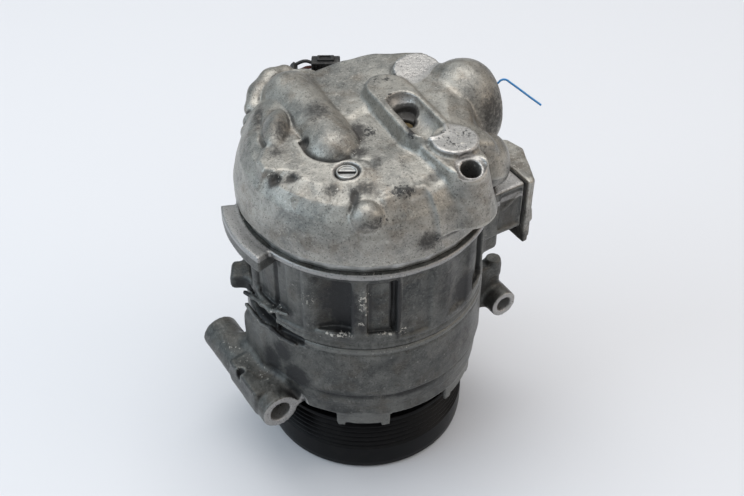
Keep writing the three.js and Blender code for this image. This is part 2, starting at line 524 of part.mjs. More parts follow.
/** A needle cage with its needles, as one ring that rolls round the shaft. */
function needleCage(low, high) {
  const middle = (SHAFT.r + NOSE.bore) / 2;
  const needle = rod([middle, 0, low + 1], [middle, 0, high - 1], 1.7, 6);
  return join(ring(middle + CAGE_HALF, middle - CAGE_HALF, low, high, 24), ...rollersOf(needle));
}
const frontNeedles = new THREE.Group();
const rearNeedles = new THREE.Group();
const thrustRollers = new THREE.Group();
const pulleyBalls = new THREE.Group();
compressor.add(frontNeedles, rearNeedles, thrustRollers, pulleyBalls);
addPiece(frontNeedles, 'front_needle_bearing', needleCage(30, 44), STEEL);
addPiece(rearNeedles, 'rear_needle_bearing', needleCage(108, 122), STEEL);
const THRUST = { in: 18, out: 33, rollerIn: 20, rollerOut: 31, rollerR: 1.3, cageHalf: 0.5 };
const thrustZ = (CRANK_FLOOR + LUG.low) / 2;
const thrustRoller = rod([THRUST.rollerIn, 0, thrustZ], [THRUST.rollerOut, 0, thrustZ], THRUST.rollerR, 6);
addPiece(thrustRollers, 'thrust_bearing', join(
  ring(THRUST.out, THRUST.in, thrustZ - THRUST.cageHalf, thrustZ + THRUST.cageHalf, 24),
  ...rollersOf(thrustRoller)), STEEL);

const BALL = { r: 1.6, z: 25, cageHalf: 2.6 };
const ballCircle = (BEARING.raceOut + BEARING.raceIn) / 2;
const ball = egg([ballCircle, 0, BALL.z], [BALL.r, BALL.r, BALL.r], 0, 6, 4);
addPiece(rotating, 'bearing_outer_race',
  ring(BEARING.outer, BEARING.raceOut, BEARING.low, BEARING.high, 32), STEEL);
addPiece(housing, 'bearing_inner_race',
  ring(BEARING.raceIn, BEARING.inner, BEARING.low, BEARING.high, 28), STEEL);
addPiece(pulleyBalls, 'bearing_ball_set', join(
  ring(ballCircle + CAGE_HALF, ballCircle - CAGE_HALF, BALL.z - BALL.cageHalf, BALL.z + BALL.cageHalf, 16),
  ...rollersOf(ball)), STEEL);
const SNAP_RING = { in: 16.4, out: 19, gapHalf: 15, low: 13.2, high: 14.7 };
addPiece(housing, 'bearing_snap_ring', arcBlock(SNAP_RING.in, SNAP_RING.out, SNAP_RING.gapHalf,
  360 - SNAP_RING.gapHalf, SNAP_RING.low, SNAP_RING.high, 14), DARK_STEEL);

// ---- Pulley, damper, hub and bolt -----------------------------------------------------------------------
function pulleyShape() {
  const grooves = around((i) => {
    const z = GROOVE.first + i * GROOVE.pitch;
    const wide = GROOVE.pitch - GROOVE.land;
    return [[PULLEY.r, z], [PULLEY.r - GROOVE.depth, z + wide / 2], [PULLEY.r, z + wide]];
  }, GROOVE.count).flat();
  return turned([
    [24.8, PULLEY.webLow], [PULLEY.rimR, PULLEY.webLow], [PULLEY.rimR, 1], [48, 0], [53, 0], [54.6, 1.6],
    [PULLEY.r, 5], ...grooves, [54.4, PULLEY.h], [49, PULLEY.h], [47.6, PULLEY.webHigh],
    [PULLEY.hubR, PULLEY.webHigh], [PULLEY.hubR, 36], [PULLEY.boreR, 36], [PULLEY.boreR, 14.6],
    [24.8, 14.6],
  ], 32);
}
addPiece(rotating, 'pulley', pulleyShape(), PULLEY_PAINT);
addPiece(rotating, 'hub_damper', turned([
  [38.3, 3.8], [39.4, 2.8], [45.6, 2.8], [46.7, 3.8], [46.7, 11.8], [38.3, 11.8],
], 28), RUBBER);
addPiece(rotating, 'hub_plate', turned([
  [6.3, 4.6], [14, 4.6], [22, 6.2], [38, 6.2], [38, 9.4], [20, 9.4], [13, 11.8], [6.3, 11.8],
], 28), DARK_STEEL);
const HUB_BOLT = { headR: 9, headHigh: 4.3, r: 3, high: 20 };
addPiece(rotating, 'hub_bolt', join(
  rod([0, 0, 0], [0, 0, HUB_BOLT.headHigh], HUB_BOLT.headR, 6),
  rod([0, 0, HUB_BOLT.headHigh - GAP], [0, 0, HUB_BOLT.high], HUB_BOLT.r, 10)), STEEL);

export default compressor;
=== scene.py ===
"""The looks of an automotive air-conditioning compressor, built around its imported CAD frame.

Shapes are worked out in millimetres in the frame's own axes, +Z along the drive shaft, and made in
metres. The three castings are blended from simple bodies as fields of distance, then skinned.
"""

import copy
import functools
import json
import math

import bpy
import numpy as np
import openvdb
from mathutils import Matrix, Vector


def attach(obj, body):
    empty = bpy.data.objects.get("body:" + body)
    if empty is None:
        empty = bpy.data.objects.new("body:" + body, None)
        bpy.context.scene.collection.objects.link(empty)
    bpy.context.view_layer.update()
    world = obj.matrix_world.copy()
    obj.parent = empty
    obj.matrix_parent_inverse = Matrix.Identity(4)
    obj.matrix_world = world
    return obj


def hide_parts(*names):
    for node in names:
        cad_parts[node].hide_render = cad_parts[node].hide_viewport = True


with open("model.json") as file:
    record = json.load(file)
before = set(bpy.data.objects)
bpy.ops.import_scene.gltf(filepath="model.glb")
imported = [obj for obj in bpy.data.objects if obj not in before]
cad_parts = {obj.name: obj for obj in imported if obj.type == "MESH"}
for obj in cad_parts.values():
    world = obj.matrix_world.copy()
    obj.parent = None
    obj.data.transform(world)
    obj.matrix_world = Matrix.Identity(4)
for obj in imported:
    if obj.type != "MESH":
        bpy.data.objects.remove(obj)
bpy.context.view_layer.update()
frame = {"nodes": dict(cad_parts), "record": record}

MM = 0.001
MOUNT_TURN = 31.8  # the mounting bolts' own axes, turned about the shaft
CYLINDERS = 6
SECTOR = 360 / CYLINDERS
FIRST_BOLT = -90.6
BOLT_CIRCLE = 53
BOLT_HOLE = 3.8
BORE_CIRCLE = 38
BORE_R = 16.1
BODY_R = 62.2
CRANK_R = 54.6
SEAM = 100.4
BLOCK_TOP = 151
HEAD_LOW = 156.5
NOSE_BORE = 13.2

SKIRT_R = 60.3
SKIRT_INNER = 56.6
TUBE = {"x": -67, "near": -25.9, "far": 44.6, "z": 50, "r": 10, "bore": 5.6}
EAR = {"x": 72.4, "near": -31.4, "far": -13, "z": 60, "r": 7.9, "bore": 4.4}
MUFFLER = {"in": 44, "out": 67.5, "near": -43.2, "far": -6, "low": 128, "high": 156}
COVER = {"inner": 68.6, "lip": 4.8, "depth": 16, "low": 117, "high": 156.6}

PORT_1 = (19.7, 1.3)
PORT_1_MOUTH = (20.2, 7.2)
PORT_2 = (47.4, -34.4)
PORT_R = 4.8
SEAT = {"z": 184, "r": 3}
PAD = (41.9, -21.5)
LOW_PAD = (26.8, 39.2)
PAD_R = 11.2
LOW_PAD_R = 11.9
PAD_TOP = 198
LOW_PAD_TOP = 197.1
LOW_PAD_RISE = 0.13  # towards the back
RIDGE = {"top": (12.1, 21.4), "middle": (28, -10.5), "end": (45.7, -32.9), "r": 10.3, "high": 199}
TROUGH = {"start": (19.2, 8.4), "end": (30.4, -13.6), "z": 198.8, "r": 7.9}
PLUG = (-7.5, -35.5)
VALVE = {"x": -31, "z": 172, "r": 8.2, "split": 43, "back": 60, "solenoid": 10}
WIRE_EXIT = (61, 38.5, 181.5)
WIRE_KNEE = (67.9, 40, 187.5)


# ---- Camera, floor, light ------------------------------------------------------------------------
CAMERA = {"back": 449.66, "height": 506.77, "down": 0.7198655, "right": 0.0093887, "roll": 0.00138}
LENS_MM = 55.645
WINDOW_SIDE = (0.62, 0.80, 0.92)
WALL_SIDE = (0.95, 0.84, 0.72)
OVERHEAD = (0.96, 0.97, 1.0)
ROOM_LIGHT = (0.27, 0.95)  # strength at the horizon and overhead
LIT_POINT = (0, 0, 0.12)
FLOOR_HALF = 14


def linked(thing):
    """thing, shown in the scene."""
    bpy.context.scene.collection.objects.link(thing)
    return thing


def make_camera():
    """The view from above and in front, level but for a hair of roll."""
    data = bpy.data.cameras.new("camera")
    data.sensor_width = 36
    data.lens = LENS_MM
    data.clip_start = 0.01
    camera = linked(bpy.data.objects.new("camera", data))
    down, side, roll = CAMERA["down"], CAMERA["right"], CAMERA["roll"]
    ahead = Vector((math.sin(side) * math.cos(down), math.cos(side) * math.cos(down), -math.sin(down)))
    level = Vector((math.cos(side), -math.sin(side), 0))
    above = level.cross(ahead)
    right = level * math.cos(roll) + above * math.sin(roll)
    above = above * math.cos(roll) - level * math.sin(roll)
    turn = Matrix((right, above, -ahead)).transposed().to_4x4()
    camera.matrix_world = Matrix.Translation((0, -CAMERA["back"] * MM, CAMERA["height"] * MM)) @ turn
    bpy.context.scene.camera = camera


def make_floor():
    """A wide pale sheet of paper under the compressor."""
    mesh = bpy.data.meshes.new("floor")
    corners = [(x * FLOOR_HALF, y * FLOOR_HALF, 0) for x, y in ((-1, -1), (1, -1), (1, 1), (-1, 1))]
    mesh.from_pydata(corners, [], [(0, 1, 2, 3)])
    floor = linked(bpy.data.objects.new("floor", mesh))
    floor.location.z = -0.0004
    material = bpy.data.materials.new("paper")
    material.use_nodes = True
    shader = material.node_tree.nodes["Principled BSDF"]
    shader.inputs["Base Color"].default_value = (0.66, 0.67, 0.70, 1)
    shader.inputs["Roughness"].default_value = 0.7
    mesh.materials.append(material)


def area_light(name, place, size, watts, colour):
    """A soft light aimed at the middle of the compressor."""
    data = bpy.data.lights.new(name, "AREA")
    data.shape = "RECTANGLE"
    data.size, data.size_y = size
    data.energy = watts
    data.color = colour
    light = linked(bpy.data.objects.new(name, data))
    light.location = place
    light.rotation_euler = (Vector(LIT_POINT) - Vector(place)).to_track_quat("-Z", "Y").to_euler()


def make_light():
    """A pale room, brighter overhead, cool from a window at the left and warmer at the right."""
    world = bpy.data.worlds.new("room")
    bpy.context.scene.world = world
    world.use_nodes = True
    room = Nodes(world.node_tree)
    background = room.tree.nodes["Background"]
    axes = room.add("ShaderNodeSeparateXYZ")
    room.link(room.add("ShaderNodeTexCoord").outputs["Generated"], axes.inputs[0])
    sides = room.mix(room.step(axes.outputs["X"], -0.7, 0.8), WINDOW_SIDE, WALL_SIDE)
    height = axes.outputs["Z"]
    room.link(room.mix(room.step(height, 0.2, 0.95), sides, OVERHEAD), background.inputs["Color"])
    room.link(room.step(height, -0.1, 0.9, *ROOM_LIGHT), background.inputs["Strength"])
    area_light("window", (-1.2, -0.35, 0.8), (0.9, 1.1), 7, (0.74, 0.88, 1.0))
    area_light("ceiling", (-0.1, 0.35, 1.5), (1.3, 0.9), 10.5, (1.0, 0.98, 0.94))
    area_light("wall", (1.3, -0.2, 0.7), (0.7, 1.0), 3, (1.0, 0.88, 0.76))
    bpy.context.scene.view_settings.view_transform = "Standard"


# ---- Fields of distance --------------------------------------------------------------------------
class Space:
    """Points over a box, one every step. A body is an array of distances to it, negative inside."""

    def __init__(self, low, high, step):
        self.low = np.array(low, np.float32)
        self.step = step
        axes = [np.arange(a, b + step, step, dtype=np.float32) for a, b in zip(low, high)]
        self.x, self.y, self.z = np.meshgrid(*axes, indexing="ij", sparse=True)
        self.shape = tuple(len(axis) for axis in axes)

    def turned(self, degrees):
        """The same points, read in axes turned about the shaft."""
        other = copy.copy(self)
        c, s = math.cos(math.radians(degrees)), math.sin(math.radians(degrees))
        other.x = c * self.x + s * self.y
        other.y = c * self.y - s * self.x
        return other


def blend(a, b, reach=0.0):
    """Both bodies, with a fillet about as wide as reach where they meet."""
    if reach <= 0:
        return np.minimum(a, b)
    near = np.maximum(reach - np.abs(a - b), 0) / reach
    return np.minimum(a, b) - near * near * (reach / 4)


def carve(a, b, reach=0.0):
    """The first body less the second."""
    return -blend(-a, b, reach)


def clip(a, b, reach=0.0):
    """What lies in both bodies."""
    return -blend(-a, -b, reach)


def added(body, *parts):
    """The body with each (part, reach) blended on in turn."""
    for part, reach in parts:
        body = blend(body, part, reach)
    return body


def slab(at, low, high):
    """Everything between two heights."""
    return np.maximum(low - at.z, at.z - high)


def least(bodies):
    """All the bodies together, with sharp seams."""
    return functools.reduce(np.minimum, bodies)


def common(*bodies):
    """What lies in all the bodies, with sharp edges."""
    return functools.reduce(np.maximum, bodies)


def outline_distance(x, y, points):
    """Signed distance from a closed outline, in a plane."""
    best = np.full(np.broadcast(x, y).shape, 1e9, np.float32)
    inside = np.zeros(best.shape, bool)
    for (ax, ay), (bx, by) in zip(points, points[1:] + points[:1]):
        ex, ey = bx - ax, by - ay
        share = np.clip(((x - ax) * ex + (y - ay) * ey) / (ex * ex + ey * ey), 0, 1)
        best = np.minimum(best, (x - ax - ex * share) ** 2 + (y - ay - ey * share) ** 2)
        if ey:
            crosses = ((ay > y) != (by > y)) & (x < ax + ex * (y - ay) / ey)
            inside ^= crosses
    return np.where(inside, -1, 1) * np.sqrt(best)


def revolve(at, points):
    """A body turned about the shaft from [radius, height] points."""
    fine = 0.25
    radius = np.hypot(at.x, at.y)[:, :, 0]
    ladder = np.arange(0, radius.max() + 2 * fine, fine, dtype=np.float32)[:, None]
    mirrored = points + [(-r, z) for r, z in reversed(points) if r > 0]
    if points[0][0] > 0:
        mirrored = points
    table = outline_distance(ladder, at.z[0], mirrored).astype(np.float32)
    place = radius / fine
    rung = place.astype(int)
    share = (place - rung)[:, :, None]
    return table[rung] * (1 - share) + table[rung + 1] * share


def ring(at, outer, inner, low, high):
    """A tube about the shaft."""
    radius = np.hypot(at.x, at.y)
    return common(radius - outer, inner - radius, slab(at, low, high))


def along(at, a, b):
    """How far each point lies along the line from a to b, and how far off it."""
    a, b = np.array(a, np.float32), np.array(b, np.float32)
    length = float(np.linalg.norm(b - a))
    ux, uy, uz = (b - a) / length
    dx, dy, dz = at.x - a[0], at.y - a[1], at.z - a[2]
    far = dx * ux + dy * uy + dz * uz
    off = np.sqrt(np.maximum(dx * dx + dy * dy + dz * dz - far * far, 0))
    return far, off, length


def barrel(at, a, b, radius, radius_to=None):
    """A cylinder or cone with flat ends."""
    far, off, length = along(at, a, b)
    radius_to = radius if radius_to is None else radius_to
    wall = radius + (radius_to - radius) * np.clip(far / length, 0, 1)
    return common(off - wall, -far, far - length)


def peg(at, centre, radius, low, high, round_off=0.0):
    """An upright cylinder with its rims rounded."""
    wall = np.hypot(at.x - centre[0], at.y - centre[1]) - radius
    return clip(wall, slab(at, low, high), round_off)


def wedge(at, start, end):
    """The space between two half planes through the shaft, less than half a turn apart."""
    a, b = math.radians(start), math.radians(end)
    return np.maximum(at.x * math.sin(a) - at.y * math.cos(a), at.y * math.cos(b) - at.x * math.sin(b))


def capsule(at, a, b, radius, radius_to=None):
    """A rod with round ends, tapered if two radii are given."""
    far, off, length = along(at, a, b)
    radius_to = radius if radius_to is None else radius_to
    share = np.clip(far / length, 0, 1)
    beyond = far - share * length
    return np.sqrt(off * off + beyond * beyond) - (radius + (radius_to - radius) * share)


def bead(at, points, radius, reach=2.0):
    """A rounded rib through the given points."""
    first, *others = [capsule(at, a, b, radius) for a, b in zip(points, points[1:])]
    return added(first, *[(part, reach) for part in others])


def egg(at, centre, radii, turn=0):
    """An ellipsoid, its own axes turned about the vertical by turn degrees."""
    spot = at.turned(turn)
    cx, cy = (math.cos(math.radians(turn)), math.sin(math.radians(turn)))
    x = spot.x - (cx * centre[0] + cy * centre[1])
    y = spot.y - (cx * centre[1] - cy * centre[0])
    z = at.z - centre[2]
    near = np.sqrt((x / radii[0]) ** 2 + (y / radii[1]) ** 2 + (z / radii[2]) ** 2)
    slope = np.sqrt((x / radii[0] ** 2) ** 2 + (y / radii[1] ** 2) ** 2 + (z / radii[2] ** 2) ** 2)
    return near * (near - 1) / np.maximum(slope, 1e-4)


def box(at, low, high, round_off=0.0):
    """A box with its edges rounded by round_off."""
    q = [np.abs(p - (a + b) / 2) - ((b - a) / 2 - round_off)
         for p, a, b in zip((at.x, at.y, at.z), low, high)]
    outside = np.sqrt(sum(np.maximum(v, 0) ** 2 for v in q))
    return outside + np.minimum(common(*q), 0) - round_off


def prism(at, outline, low, high, draft=0.0, round_off=0.0):
    """An upright plate of the given outline; draft widens it downwards."""
    wall = outline_distance(at.x, at.y, outline) - draft * (high - at.z)
    top = slab(at, low, high)
    if round_off:
        return clip(wall, top, round_off)
    return np.maximum(wall, top)


def stadium(at, a, b, radius, low, high, draft=0.0, round_off=0.0):
    """An upright bar with round ends."""
    ax, ay = a
    ex, ey = b[0] - ax, b[1] - ay
    share = np.clip(((at.x - ax) * ex + (at.y - ay) * ey) / (ex * ex + ey * ey), 0, 1)
    wall = np.hypot(at.x - ax - ex * share, at.y - ay - ey * share) - radius - draft * (high - at.z)
    return clip(wall, slab(at, low, high), round_off)


def arc_block(at, inner, outer, start, end, low, high):
    """A block between two radii and two angles, in degrees about the shaft."""
    radius = np.hypot(at.x, at.y)
    middle = math.radians((start + end) / 2)
    half = math.radians((end - start) / 2)
    angle = np.arctan2(at.y, at.x) - middle
    angle = np.abs(np.arctan2(np.sin(angle), np.cos(angle)))
    side = (angle - half) * np.minimum(radius, outer)
    return common(radius - outer, inner - radius, side, slab(at, low, high))


def polar(radius, degrees):
    angle = math.radians(degrees)
    return radius * math.cos(angle), radius * math.sin(angle)


def bolt_angle(i):
    return FIRST_BOLT + i * SECTOR


def bore_angle(i):
    return FIRST_BOLT + (i + 0.5) * SECTOR


def lumps(at, size, amount, seed):
    """Gentle unevenness, as sand and wear leave it: smooth noise with hills about size apart."""
    rng = np.random.default_rng(seed)
    counts = [int(math.ceil(n * at.step / size)) + 4 for n in at.shape]
    hills = rng.uniform(-amount, amount, counts).astype(np.float32)
    for axis, n in enumerate(at.shape):
        place = np.arange(n) * at.step / size + 1
        base = place.astype(int)
        t = place - base
        weights = np.zeros((n, counts[axis]), np.float32)
        rows = np.arange(n)
        weights[rows, base - 1] = (1 - t) ** 3 / 6
        weights[rows, base] = (3 * t ** 3 - 6 * t ** 2 + 4) / 6
        weights[rows, base + 1] = (-3 * t ** 3 + 3 * t ** 2 + 3 * t + 1) / 6
        weights[rows, base + 2] = t ** 3 / 6
        hills = np.moveaxis(np.tensordot(weights, hills, axes=(1, axis)), 0, axis)
    return hills


def sample(at, field, points):
    """The field at any points, in mm, read between its samples."""
    place = np.clip((points - at.low) / at.step, 0, np.array(at.shape) - 1.001)
    base = place.astype(int)
    t = place - base
    total = 0
    for i in (0, 1):
        for j in (0, 1):
            for k in (0, 1):
                weight = (np.abs(1 - i - t[:, 0]) * np.abs(1 - j - t[:, 1]) * np.abs(1 - k - t[:, 2]))
                total = total + weight * field[base[:, 0] + i, base[:, 1] + j, base[:, 2] + k]
    return total


CREASE_REACH = 4.0
EDGE_REACH = 2.0


def mark(mesh, name, values):
    """A number at each corner point of the mesh, for its material to read."""
    attribute = mesh.attributes.new(name, "FLOAT", "POINT")
    attribute.data.foreach_set("value", np.clip(values, 0, 1).astype(np.float32))


def skin(name, at, field, cut=None, spots=None):
    """The field's surface as a mesh object, marked where it is creased (for dirt and painted shade), edged
    (for wear and painted highlight), machined, and spotted with stains and painted shade.
    """
    grid = openvdb.FloatGrid(CREASE_REACH)
    grid.copyFromArray(np.ascontiguousarray(field, np.float32))
    points, _, quads = grid.convertToPolygons(0.0, 0.0)
    points = points * at.step + at.low
    mesh = bpy.data.meshes.new(name)
    mesh.vertices.add(len(points))
    mesh.vertices.foreach_set("co", (points * MM).astype(np.float32).ravel())
    mesh.loops.add(quads.size)
    mesh.loops.foreach_set("vertex_index", quads.astype(np.int32).ravel())
    mesh.polygons.add(len(quads))
    mesh.polygons.foreach_set("loop_start", np.arange(0, quads.size, 4, dtype=np.int32))
    mesh.update(calc_edges=True)
    mesh.validate()
    mesh.shade_smooth()
    normals = np.zeros(len(points) * 3, np.float32)
    mesh.vertex_normals.foreach_get("vector", normals)
    normals = normals.reshape(-1, 3)
    # crease: how enclosed each point is, like ambient occlusion; the materials darken creases by it, as dirt
    # and painted shade.
    mark(mesh, "crease", 1 - sample(at, field, points + normals * CREASE_REACH) / CREASE_REACH)
    # edge: how sharp each convex edge is; the alloy brightens edges by it, as wear and painted highlight.
    mark(mesh, "edge", 1 + sample(at, field, points - normals * EDGE_REACH) / EDGE_REACH)
    machined = 0 if cut is None else 1.5 - np.abs(sample(at, cut, points)) / (at.step * 0.7)
    mark(mesh, "machined", np.zeros(len(points)) + machined)
    for kind in ("soot_and_shade", "chips", "crust"):
        amount = np.zeros(len(points))
        for centre, radii, strength in (spots or {}).get(kind, []):
            far = np.linalg.norm((points - np.array(centre)) / np.array(radii), axis=1)
            amount = np.maximum(amount, strength * np.clip(1.35 - far, 0, 1))
        mark(mesh, kind, amount)
    return linked(bpy.data.objects.new(name, mesh))


# ---- Rear head -----------------------------------------------------------------------------------
HEAD_STEP = 0.72
DOME = [
    (0, HEAD_LOW), (63.8, HEAD_LOW), (63.8, 164.4), (63.2, 166.4), (62.3, 171.5), (59.8, 178.5),
    (55.2, 184.6), (47.5, 188.6), (30, 190.6), (0, 191.2),
]
FAN = [
    (-29, 43), (-5.4, 7.8), (-1, 13.2), (4, 12), (24, -6), (44, -20), (59.2, -12.9), (56.7, -7.7),
    (51.3, -3.2), (50, 12.7), (42.8, 28.4), (38.7, 43.9), (30, 55), (6, 58), (-10, 54),
]
FAN_TOP = 197.2
FAN_SLOPE = {"corner": 192.2, "x": 0.124, "y": 0.018}


def lobes(at, body):
    """The big lobe over the valve, the smaller one at its left and the left flank."""
    body = added(
        body,
        (egg(at, (-36, 17, 170), (20.5, 29, 19.5)), 8),
        (barrel(at, (VALVE["x"], 20, VALVE["z"]), (VALVE["x"], 57, VALVE["z"]), 14), 4),
        (egg(at, (-41, -1.5, 178), (9.2, 21, 17), -3), 0.8),
    )
    furrow = [(-50.2, 13, 187.4), (-49.6, 2, 188.4), (-48, -8, 188.2), (-44, -20, 188)]
    body = carve(body, bead(at, furrow, 1.1), 1.4)
    lobe = capsule(at, (-36, 35, 180.6), (-14, -14, 182.6), 15, 15)
    under_nose = common(lobe - 1.1, 187.8 - at.z, at.y + 13, at.x + 5.5)
    body = blend(carve(body, under_nose, 1.2), lobe, 0.5)
    body = carve(body, bead(at, [(-33.5, -3.5, 192.2), (-29.5, -10, 190.6)], 0.9), 0.8)
    return carve(body, egg(at, (-27.2, -14.6, 190.4), (1.9, 2.7, 3.2), 25), 1.4)


def left_rim(at, body):
    """The raised band and knobs down the head's left edge, and the shelf below the smaller lobe."""
    band = [(-40.6, 57, 181.4), (-47.4, 51, 181.8), (-52.4, 42.6, 180), (-54.6, 34, 176.8)]
    inside_band = [(x + 5.6, y - 3.6, z + 3.4) for x, y, z in band]
    body = carve(blend(body, bead(at, band, 5.6, 5), 1.8), bead(at, inside_band, 1.0), 0.9)
    shelf = [(-46, -15), (-47.6, -26), (-45.4, -31.8), (-39.4, -33), (-31, -33.6), (-26, -26), (-34, -12)]
    lip = [(-46.6, -17, 187.2), (-47.8, -25, 186.8), (-45.6, -31, 186.2), (-39.4, -32.8, 187.2)]
    body = added(
        body,
        (egg(at, (-54.6, 25.4, 174), (5.8, 3.4, 6)), 1.0),
        (egg(at, (-55.6, 18.4, 172.6), (5.6, 3.6, 6)), 1.0),
        (prism(at, shelf, 176, 188.9, 0.25, 1.1), 1.2),
        (bead(at, lip, 1.1), 0.8),
    )
    body = carve(body, egg(at, (-40.4, -36.2, 185.4), (2.9, 1.9, 2.2), 20), 1.3)
    return carve(body, egg(at, (-32.4, -37.4, 187.4), (2.4, 1.3, 1.2)), 1.2)


def right_bulges(at, body):
    """The bulges behind and beside the ports."""
    return added(
        body,
        (egg(at, (49.6, 33.6, 176.2), (21.8, 22.4, 26.8)), 3),
        (egg(at, (59.6, -6, 172), (11, 12.6, 15.4)), 1.6),
        (egg(at, (20, 42, 170), (26, 18, 24)), 6),
    )


def fan(at):
    """The flat behind the ridge, tilted up towards the ports and falling away at the right."""
    top = at.z - FAN_SLOPE["corner"] - FAN_SLOPE["x"] * at.x - FAN_SLOPE["y"] * at.y
    top = np.maximum(top, at.z - FAN_TOP + 0.3 * np.maximum(at.x - 40, 0))
    wall = outline_distance(at.x, at.y, FAN) - 0.35 * (FAN_TOP - at.z)
    return clip(wall, np.maximum(top, 172 - at.z), 2.5)


def front_bosses(at, body):
    """The shiny round boss at the front of the dome, the swelling round the plug and their creases."""
    body = added(
        body,
        (egg(at, (1.2, -55.6, 179.8), (8, 7.6, 7.6)), 1.0),
        (egg(at, (-5.6, -36.4, 184), (11, 10.4, 6.9)), 2.0),
        (bead(at, [(10, -51, 185.2), (18, -48, 186.4), (26, -44, 186.6)], 1.9), 2.5),
    )
    crease = [(1.4, -45.4, 190), (-3.6, -50.2, 187.8), (-5.8, -56.6, 183.4)]
    body = carve(body, bead(at, crease, 0.9), 1.2)
    crescent = [
        (-15.4, -30, 191.2), (-11, -26.8, 191.6), (-5, -26, 191.4), (2.6, -28.4, 191.2), (5.2, -34, 190.8),
    ]
    return carve(body, bead(at, crescent, 0.8), 1.4)


def beside_ridge(at):
    """How far each point lies to the right of the ridge's long axis."""
    (x, y), (to_x, to_y) = RIDGE["top"], RIDGE["middle"]
    dx, dy = to_x - x, to_y - y
    return ((at.x - x) * -dy + (at.y - y) * dx) / math.hypot(dx, dy) + 0 * at.z


def port_ridge(at, body):
    """The slotted ridge with its port, and the second port's boss at the front corner."""
    wall = stadium(at, (26.4, -5), RIDGE["end"], 10.2, 165, 194.6, 0.24, 1.6)
    ridge = stadium(at, RIDGE["top"], RIDGE["middle"], RIDGE["r"], 172, RIDGE["high"] + 2, 0.26, 0.6)
    ridge = clip(ridge, at.z - RIDGE["high"] + 0.5 + 0.055 * beside_ridge(at), 0.8)
    x, y = PORT_2
    radius = np.hypot(at.x, at.y)
    boss = capsule(at, (x - 0.5, y + 1, 182), (x + 1.2, y - 4, 160), 9.6, 14)
    boss = clip(boss, radius - 64.2 - 0.2 * (at.z - 166), 1.5)
    corner = clip(revolve(at, DOME) - 1.7, wedge(at, -57.5, -24), 0.4)
    return added(body, (wall, 3), (ridge, 1.6), (boss, 2), (clip(corner, 52 - radius, 4), 3))


def head_cuts(at):
    """Chambers, ports and bores: first the machined ones, then those left as cast."""
    x, y = PORT_2
    face = np.array((x + 1, y - 3, 192.4))
    lean = np.array((2, -7, 19.5)) / 20.8
    inside, outside = face - 26 * lean, face + 16 * lean
    valve_x, valve_z = VALVE["x"], VALVE["z"]
    valve_end = (valve_x, 82, valve_z)
    machined = [
        barrel(at, (*PORT_1, 176), (*PORT_1, 206), SEAT["r"]),
        barrel(at, (*PORT_1, SEAT["z"]), (*PORT_1, 206), 5.0),
        peg(at, PORT_1_MOUTH, 5.3, 189, 206),
        barrel(at, inside, outside, PORT_R),
        barrel(at, face, outside, 7.6),
        barrel(at, (*PLUG, 176), (*PLUG, 206), 5.4),
        barrel(at, (*PLUG, 188.4), (*PLUG, 206), 6.1),
        barrel(at, (valve_x, 2, valve_z), valve_end, VALVE["r"]),
        barrel(at, (valve_x, VALVE["split"], valve_z), valve_end, VALVE["solenoid"] + 0.6),
    ]
    suction = ring(at, 57, 31, HEAD_LOW - 2, 176)
    for i in range(CYLINDERS):
        suction = carve(suction, peg(at, polar(BOLT_CIRCLE + 1, bolt_angle(i)), 7, HEAD_LOW - 3, 178))
        machined.append(peg(at, polar(BOLT_CIRCLE, bolt_angle(i)), BOLT_HOLE, 150, HEAD_LOW + 17))
    return least(machined), np.minimum(ring(at, 26, 0, HEAD_LOW - 2, 178), suction)
